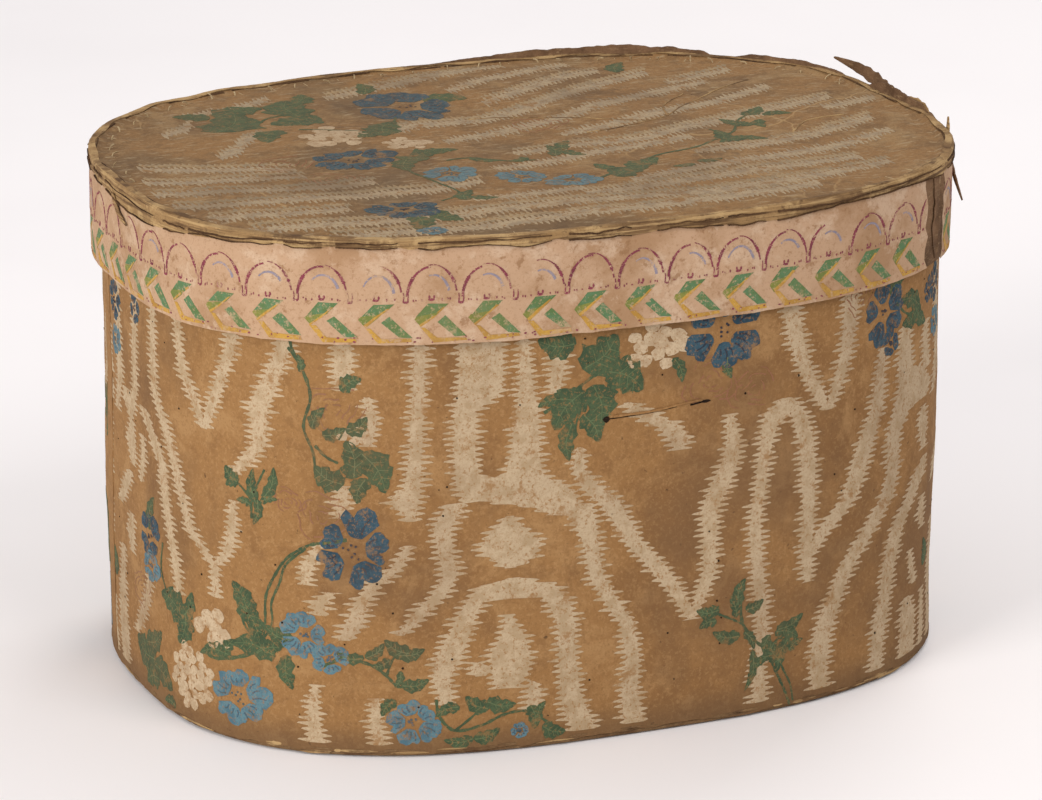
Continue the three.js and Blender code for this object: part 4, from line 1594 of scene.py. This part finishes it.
BORDER_REPEATS = 48
BORDER_START = 13.6  # s of the first chevron's tip
BORDER_INK_HEIGHTS = {"crimson": 0.20, "lavender": 0.12, "green": 0.12, "olive": 0.15, "yellow": 0.18}
PATCH_MARGIN = 1.5
CHEVRON_TIP = 242.0
CHEVRON = {  # (along, up) from the tip
    "green": [
        [(1.2, 1.6), (7.2, 8.6), (17.6, 8.4), (12.2, 3.6)],
        [(15.4, 2.0), (11.4, -1.2), (20.2, -9.2), (26.6, -9.4)],
    ],
    "olive": [[(0, 0), (1.2, 1.6), (12.2, 3.6), (9.4, 1.0), (3.2, -3.8)]],
    "yellow": [[(3.2, -4.0), (5.8, -4.0), (11.4, -9.6), (25.8, -10.0), (26.6, -11.6), (9.4, -12.2)],
               [(3.2, -3.8), (9.4, 1.0), (15.4, 6.2), (14.0, 6.4), (7.6, 1.2), (2.4, -2.6)]],
}


ARCH_HALF_WIDTH = 12.6
ARCH_SPOTS = [  # (along, up) from the middle of the arch's foot, half width, half height, corners
    (-13.4, -1.9, 1.5, 0.7, 6), (-0.4, -0.6, 1.7, 0.7, 7),
    (-1.4, 0.8, 0.5, 1.1, 6), (1.0, 0.8, 0.6, 1.1, 6),
]


def jittered(outline, dice, size=0.4):
    return [(u + dice.uniform(-size, size), v + dice.uniform(-size, size)) for u, v in outline]


def print_chevron(flats, tip, dice):
    """The folded ribbon under an arch."""
    for colour, outlines in CHEVRON.items():
        for outline in outlines:
            placed = [(tip + u, CHEVRON_TIP + v) for u, v in outline]
            flats[colour].polygon(jittered(placed, dice))


def arch(middle, foot, half_width, height, start, end):
    """Points round an upright arch, from one angle to another in degrees, 0 being its right foot."""
    count = max(3, int((end - start) / 11))
    angles = [math.radians(start + (end - start) * i / count) for i in range(count + 1)]
    return [(middle + half_width * math.cos(a), foot + height * math.sin(a)) for a in angles]


def print_arch(flats, tip, dice):
    """The crimson arch over a chevron, with its lavender inner arch, posts and beads, partly worn away."""
    middle, foot = tip + 9.4 + dice.uniform(-0.5, 0.5), 253.0 + dice.uniform(-0.5, 0.5)
    crimson = flats["crimson"]
    right, left = dice.uniform(80, 100), dice.uniform(84, 104)
    if dice.random() < 0.93:
        ribbon(crimson, arch(middle, foot, ARCH_HALF_WIDTH, 18, 12, right), 0.8, taper=0.5)
        ribbon(crimson, arch(middle, foot, ARCH_HALF_WIDTH, 18, 28, 58), 1.7, taper=0.45)
    if dice.random() < 0.93:
        ribbon(crimson, arch(middle, foot, ARCH_HALF_WIDTH, 17, left, 176), 0.9, taper=-0.4)
        ribbon(crimson, arch(middle, foot, ARCH_HALF_WIDTH, 17, 138, 166), 1.8, taper=0.3)
    if dice.random() < 0.7:
        end = dice.uniform(90, 150)
        inner_arch = arch(middle + 0.6, foot + 1, 8.2, 11.5, dice.uniform(10, 40), end)
        ribbon(flats["lavender"], inner_arch, 1.5, taper=0.5)
    for u in (-14.5, -12.2):
        post = middle + u
        ribbon(crimson, [(post, foot - 1.6), (post + 0.2, foot + 1.2), (post, foot + 3.2)], 0.7)
    for u, v, rx, ry, corners in ARCH_SPOTS:
        spot(crimson, (middle + u, foot + v), rx, ry, corners)
    for u in (-9.5, -8.2, -5.2, 5.0, 7.8, 9.0):
        spot(crimson, (middle + u, foot - 0.6 + dice.uniform(-0.5, 0.5)), 0.4, dice.uniform(0.4, 0.9), 5)


def make_border_print():
    flats = flat_inks(BORDER_INK_HEIGHTS)
    pitch = ROUND / BORDER_REPEATS
    for k in range(BORDER_REPEATS):
        dice = random.Random(300 + k)
        tip = BORDER_START + k * pitch
        print_arch(flats, tip, dice)
        print_chevron(flats, tip, dice)
        for _ in range(6):
            at = (tip + dice.uniform(0, 26), dice.uniform(229.8, 232.6))
            spot(flats["crimson"], at, dice.uniform(0.3, 0.9), dice.uniform(0.3, 0.6), 6)
    for flat in flats.values():
        flat.cut_away(PATCH[0] - PATCH_MARGIN, PATCH[1] + PATCH_MARGIN)
    lay_inks("border", flats, BORDER_INK_HEIGHTS, rim, "lid", "border_paper", BORDER_LOOKS)


# ---------------------------------------------------------------- torn board at the lid's back right corner


def between(table, value):
    """Straight-line value from a list of (place, amount)."""
    for (p0, a0), (p1, a1) in zip(table, table[1:]):
        if p0 <= value <= p1:
            return a0 + (a1 - a0) * (value - p0) / (p1 - p0)
    return 0.0


RAISED_EDGES = {  # (s, height above the lid)
    "back": [
        (484, 0), (489, 2.6), (500, 3.2), (520, 4.6), (540, 5.2), (560, 4.6), (595, 3.6), (630, 2.0),
        (660, 0.3),
    ],
    "corner": [(392, 0), (400, 2.2), (418, 3.0), (440, 3.2), (462, 2.6), (472, 0.3)],
    "right": [(286, 0), (296, 2.0), (314, 3.4), (334, 4.6), (352, 5.4), (364, 4.2), (372, 0.5)],
}


def leaning(s, z, out):
    """The rim's outer face, leaning out where it stands above the lid."""
    above = max(0.0, z - LID_TOP)
    x, y, _, _ = OVAL.at(s)
    return rim(s, z, out - 0.35 + 0.22 * above + 0.35 * wavy(x, y, z, 8, 61))


def make_raised_edges():
    """Torn board standing up round the lid."""
    for name, table in RAISED_EDGES.items():

        def rows(s, table=table):
            x, y, _, _ = OVAL.at(s)
            rough = 1 + 0.16 * wavy(x, y, 0, 14, 62) + 0.06 * wavy(x, y, 0, 3, 63)
            top = LID_TOP + 0.4 + between(table, s) * rough
            return [LID_TOP - 6 + (top - LID_TOP + 6) * i / 6 for i in range(7)]

        sheet(f"rim_torn_edge_{name}", leaning, steps(table[0][0], table[-1][0], 1.6), rows, 1.5, False,
              look=TORN_LOOK, body="lid", slot="pasteboard")


def width_at(widths, part):
    """A strip's width at a part, 0 to 1, of its length."""
    place = part * (len(widths) - 1)
    k = min(int(place), len(widths) - 2)
    return widths[k] + (widths[k + 1] - widths[k]) * (place - k)


def torn_strip(name, centre, widths, thickness, look):
    """A curled sliver of board. centre is a list of (s, z, out)."""
    fine = smoothed(centre, 6)
    spine = [rim(s, z, out) for s, z, out in fine]
    last = len(spine) - 1
    outer, inner = [], []
    for i, p in enumerate(spine):
        heading = (spine[min(i + 1, last)] - spine[max(i - 1, 0)]).normalized()
        _, _, nx, ny = OVAL.at(fine[i][0])
        facing = Vector((nx, ny, 0.0))
        facing = (facing - heading * facing.dot(heading)).normalized()
        across = heading.cross(facing)
        width = width_at(widths, i / last)
        rough = 1 + 0.10 * math.sin(1.9 * i) + 0.08 * math.sin(4.7 * i)
        row = []
        for t in (-0.5, -0.25, 0.0, 0.25, 0.5):
            cup = 0.9 * (t * t * 4 - 1) * width / 10
            row.append(p + across * (t * width * rough) + facing * cup)
        outer.append(row)
        inner.append([q - facing * thickness for q in row])
    points, faces = grid_solid(outer, inner, len(spine), 5, False)
    return make(name, points, faces, look=look, body="lid", slot="pasteboard")


TORN_STRIPS = {  # name: centre line as (s, z, out), widths along it, thickness, look
    "rim_sliver_upright": (
        [(344, 280, 0.8), (356, 284, 2.5), (372, 288, 4.2), (390, 290.5, 4.8), (408, 293, 3.5)],
        (10, 11, 9, 6, 0.8), 0.9, TORN_LOOK,
    ),
    "rim_sliver_hanging": (
        [(262, 274, 0.6), (260, 266, 2.2), (257, 257, 4.6), (254, 248, 7.5)],
        (5, 8, 6, 0.8), 0.8, TORN_LOOK,
    ),
    "rim_sliver_corner": (
        [(268, 279, 0.5), (266, 285, 0.9), (270, 291, 1.8)],
        (10, 7, 0.8), 0.8, FOLD_LOOK,
    ),
    "rim_sliver_lying": (
        [(296, 284.5, -1), (306, 286, 1), (320, 287, 1.5), (336, 286, 1)],
        (3, 5, 5, 1), 0.6, FOLD_LOOK,
    ),
    "lid_front_left_tear": (
        [(-338, 283, 0.8), (-332, 277, 1.4), (-324, 270, 1.5), (-312, 266, 1.2)],
        (1, 4, 4, 0.8), 0.5, FOLD_LOOK,
    ),
    "rim_bare_patch_fibres": (
        [(197, 279, 0.1), (199, 262, 0.4), (196, 246, 0.3), (199, 232, 0.1)],
        (12, 13, 9, 4), 0.5, TORN_LOOK,
    ),
}


def make_torn_strips():
    for name, strip in TORN_STRIPS.items():
        torn_strip(name, *strip)


# ---------------------------------------------------------------- floor, light and camera


def make_floor():
    mesh = bpy.data.meshes.new("floor")
    size, gap = 9.0, 0.0002  # metres, the gap so that the floor and the base don't share a plane
    corners = [(-size, -size, -gap), (size, -size, -gap), (size, size, -gap), (-size, size, -gap)]
    mesh.from_pydata(corners, [], [(0, 1, 2, 3)])
    look = Look("floor_paper", (244, 241, 241), roughness=0.8)
    look.blotches((241, 238, 238), (2.0, 3), (0.4, 0.7))
    mesh.materials.append(look.done((look.noise(300, 3), 0.05, 0.1)))
    floor = bpy.data.objects.new("floor", mesh)
    bpy.context.scene.collection.objects.link(floor)


def add_light(name, place, size, power, colour, aim=(0, 0, 0.12)):
    data = bpy.data.lights.new(name, "AREA")
    data.size, data.energy, data.color = size, power, colour
    light = bpy.data.objects.new(name, data)
    light.location = place
    light.rotation_euler = (Vector(aim) - Vector(place)).to_track_quat("-Z", "Y").to_euler()
    bpy.context.scene.collection.objects.link(light)


def make_lights():
    add_light("key_left", (-3.2, -1.55, 1.2), 1.5, 90, (1.0, 0.985, 0.96))
    add_light("back_right", (1.4, 1.3, 2.6), 1.2, 25, (1.0, 0.99, 0.98))
    add_light("front_fill", (0.8, -2.4, 2.7), 1.8, 36, (1.0, 0.985, 0.98))
    world = bpy.data.worlds.new("studio")
    world.use_nodes = True
    world.node_tree.nodes["Background"].inputs["Color"].default_value = srgb(246, 243, 244)
    world.node_tree.nodes["Background"].inputs["Strength"].default_value = 0.66
    bpy.context.scene.world = world
    bpy.context.scene.view_settings.view_transform = "Standard"


def make_camera():
    azimuth, elevation, distance = -0.3835, 0.306, 2.784
    data = bpy.data.cameras.new("camera")
    data.lens, data.sensor_width = 173.4, 36.0
    data.shift_y = -0.0103
    camera = bpy.data.objects.new("camera", data)
    back = Vector((math.sin(azimuth) * math.cos(elevation), -math.cos(azimuth) * math.cos(elevation),
                   math.sin(elevation)))
    camera.location = Vector((0, 0, LID_TOP * MM / 2)) + back * distance
    camera.rotation_euler = (-back).to_track_quat("-Z", "Y").to_euler()
    bpy.context.scene.collection.objects.link(camera)
    bpy.context.scene.camera = camera


make_camera()
make_floor()
make_lights()
make_box_boards()
make_box_papers()
make_box_threads()
make_side_print()
make_side_wear()
make_lid_boards()
make_lid_papers()
make_rim_papers()
# dice for the painted shade lines round the lid's edge
shade_line_dice = random.Random(17)
make_lip_shade_lines(shade_line_dice)
make_fold_shade_lines(shade_line_dice)
make_lid_threads()
make_thread_ends()
make_lid_print()
make_lid_creases()
make_border_print()
make_raised_edges()
make_torn_strips()
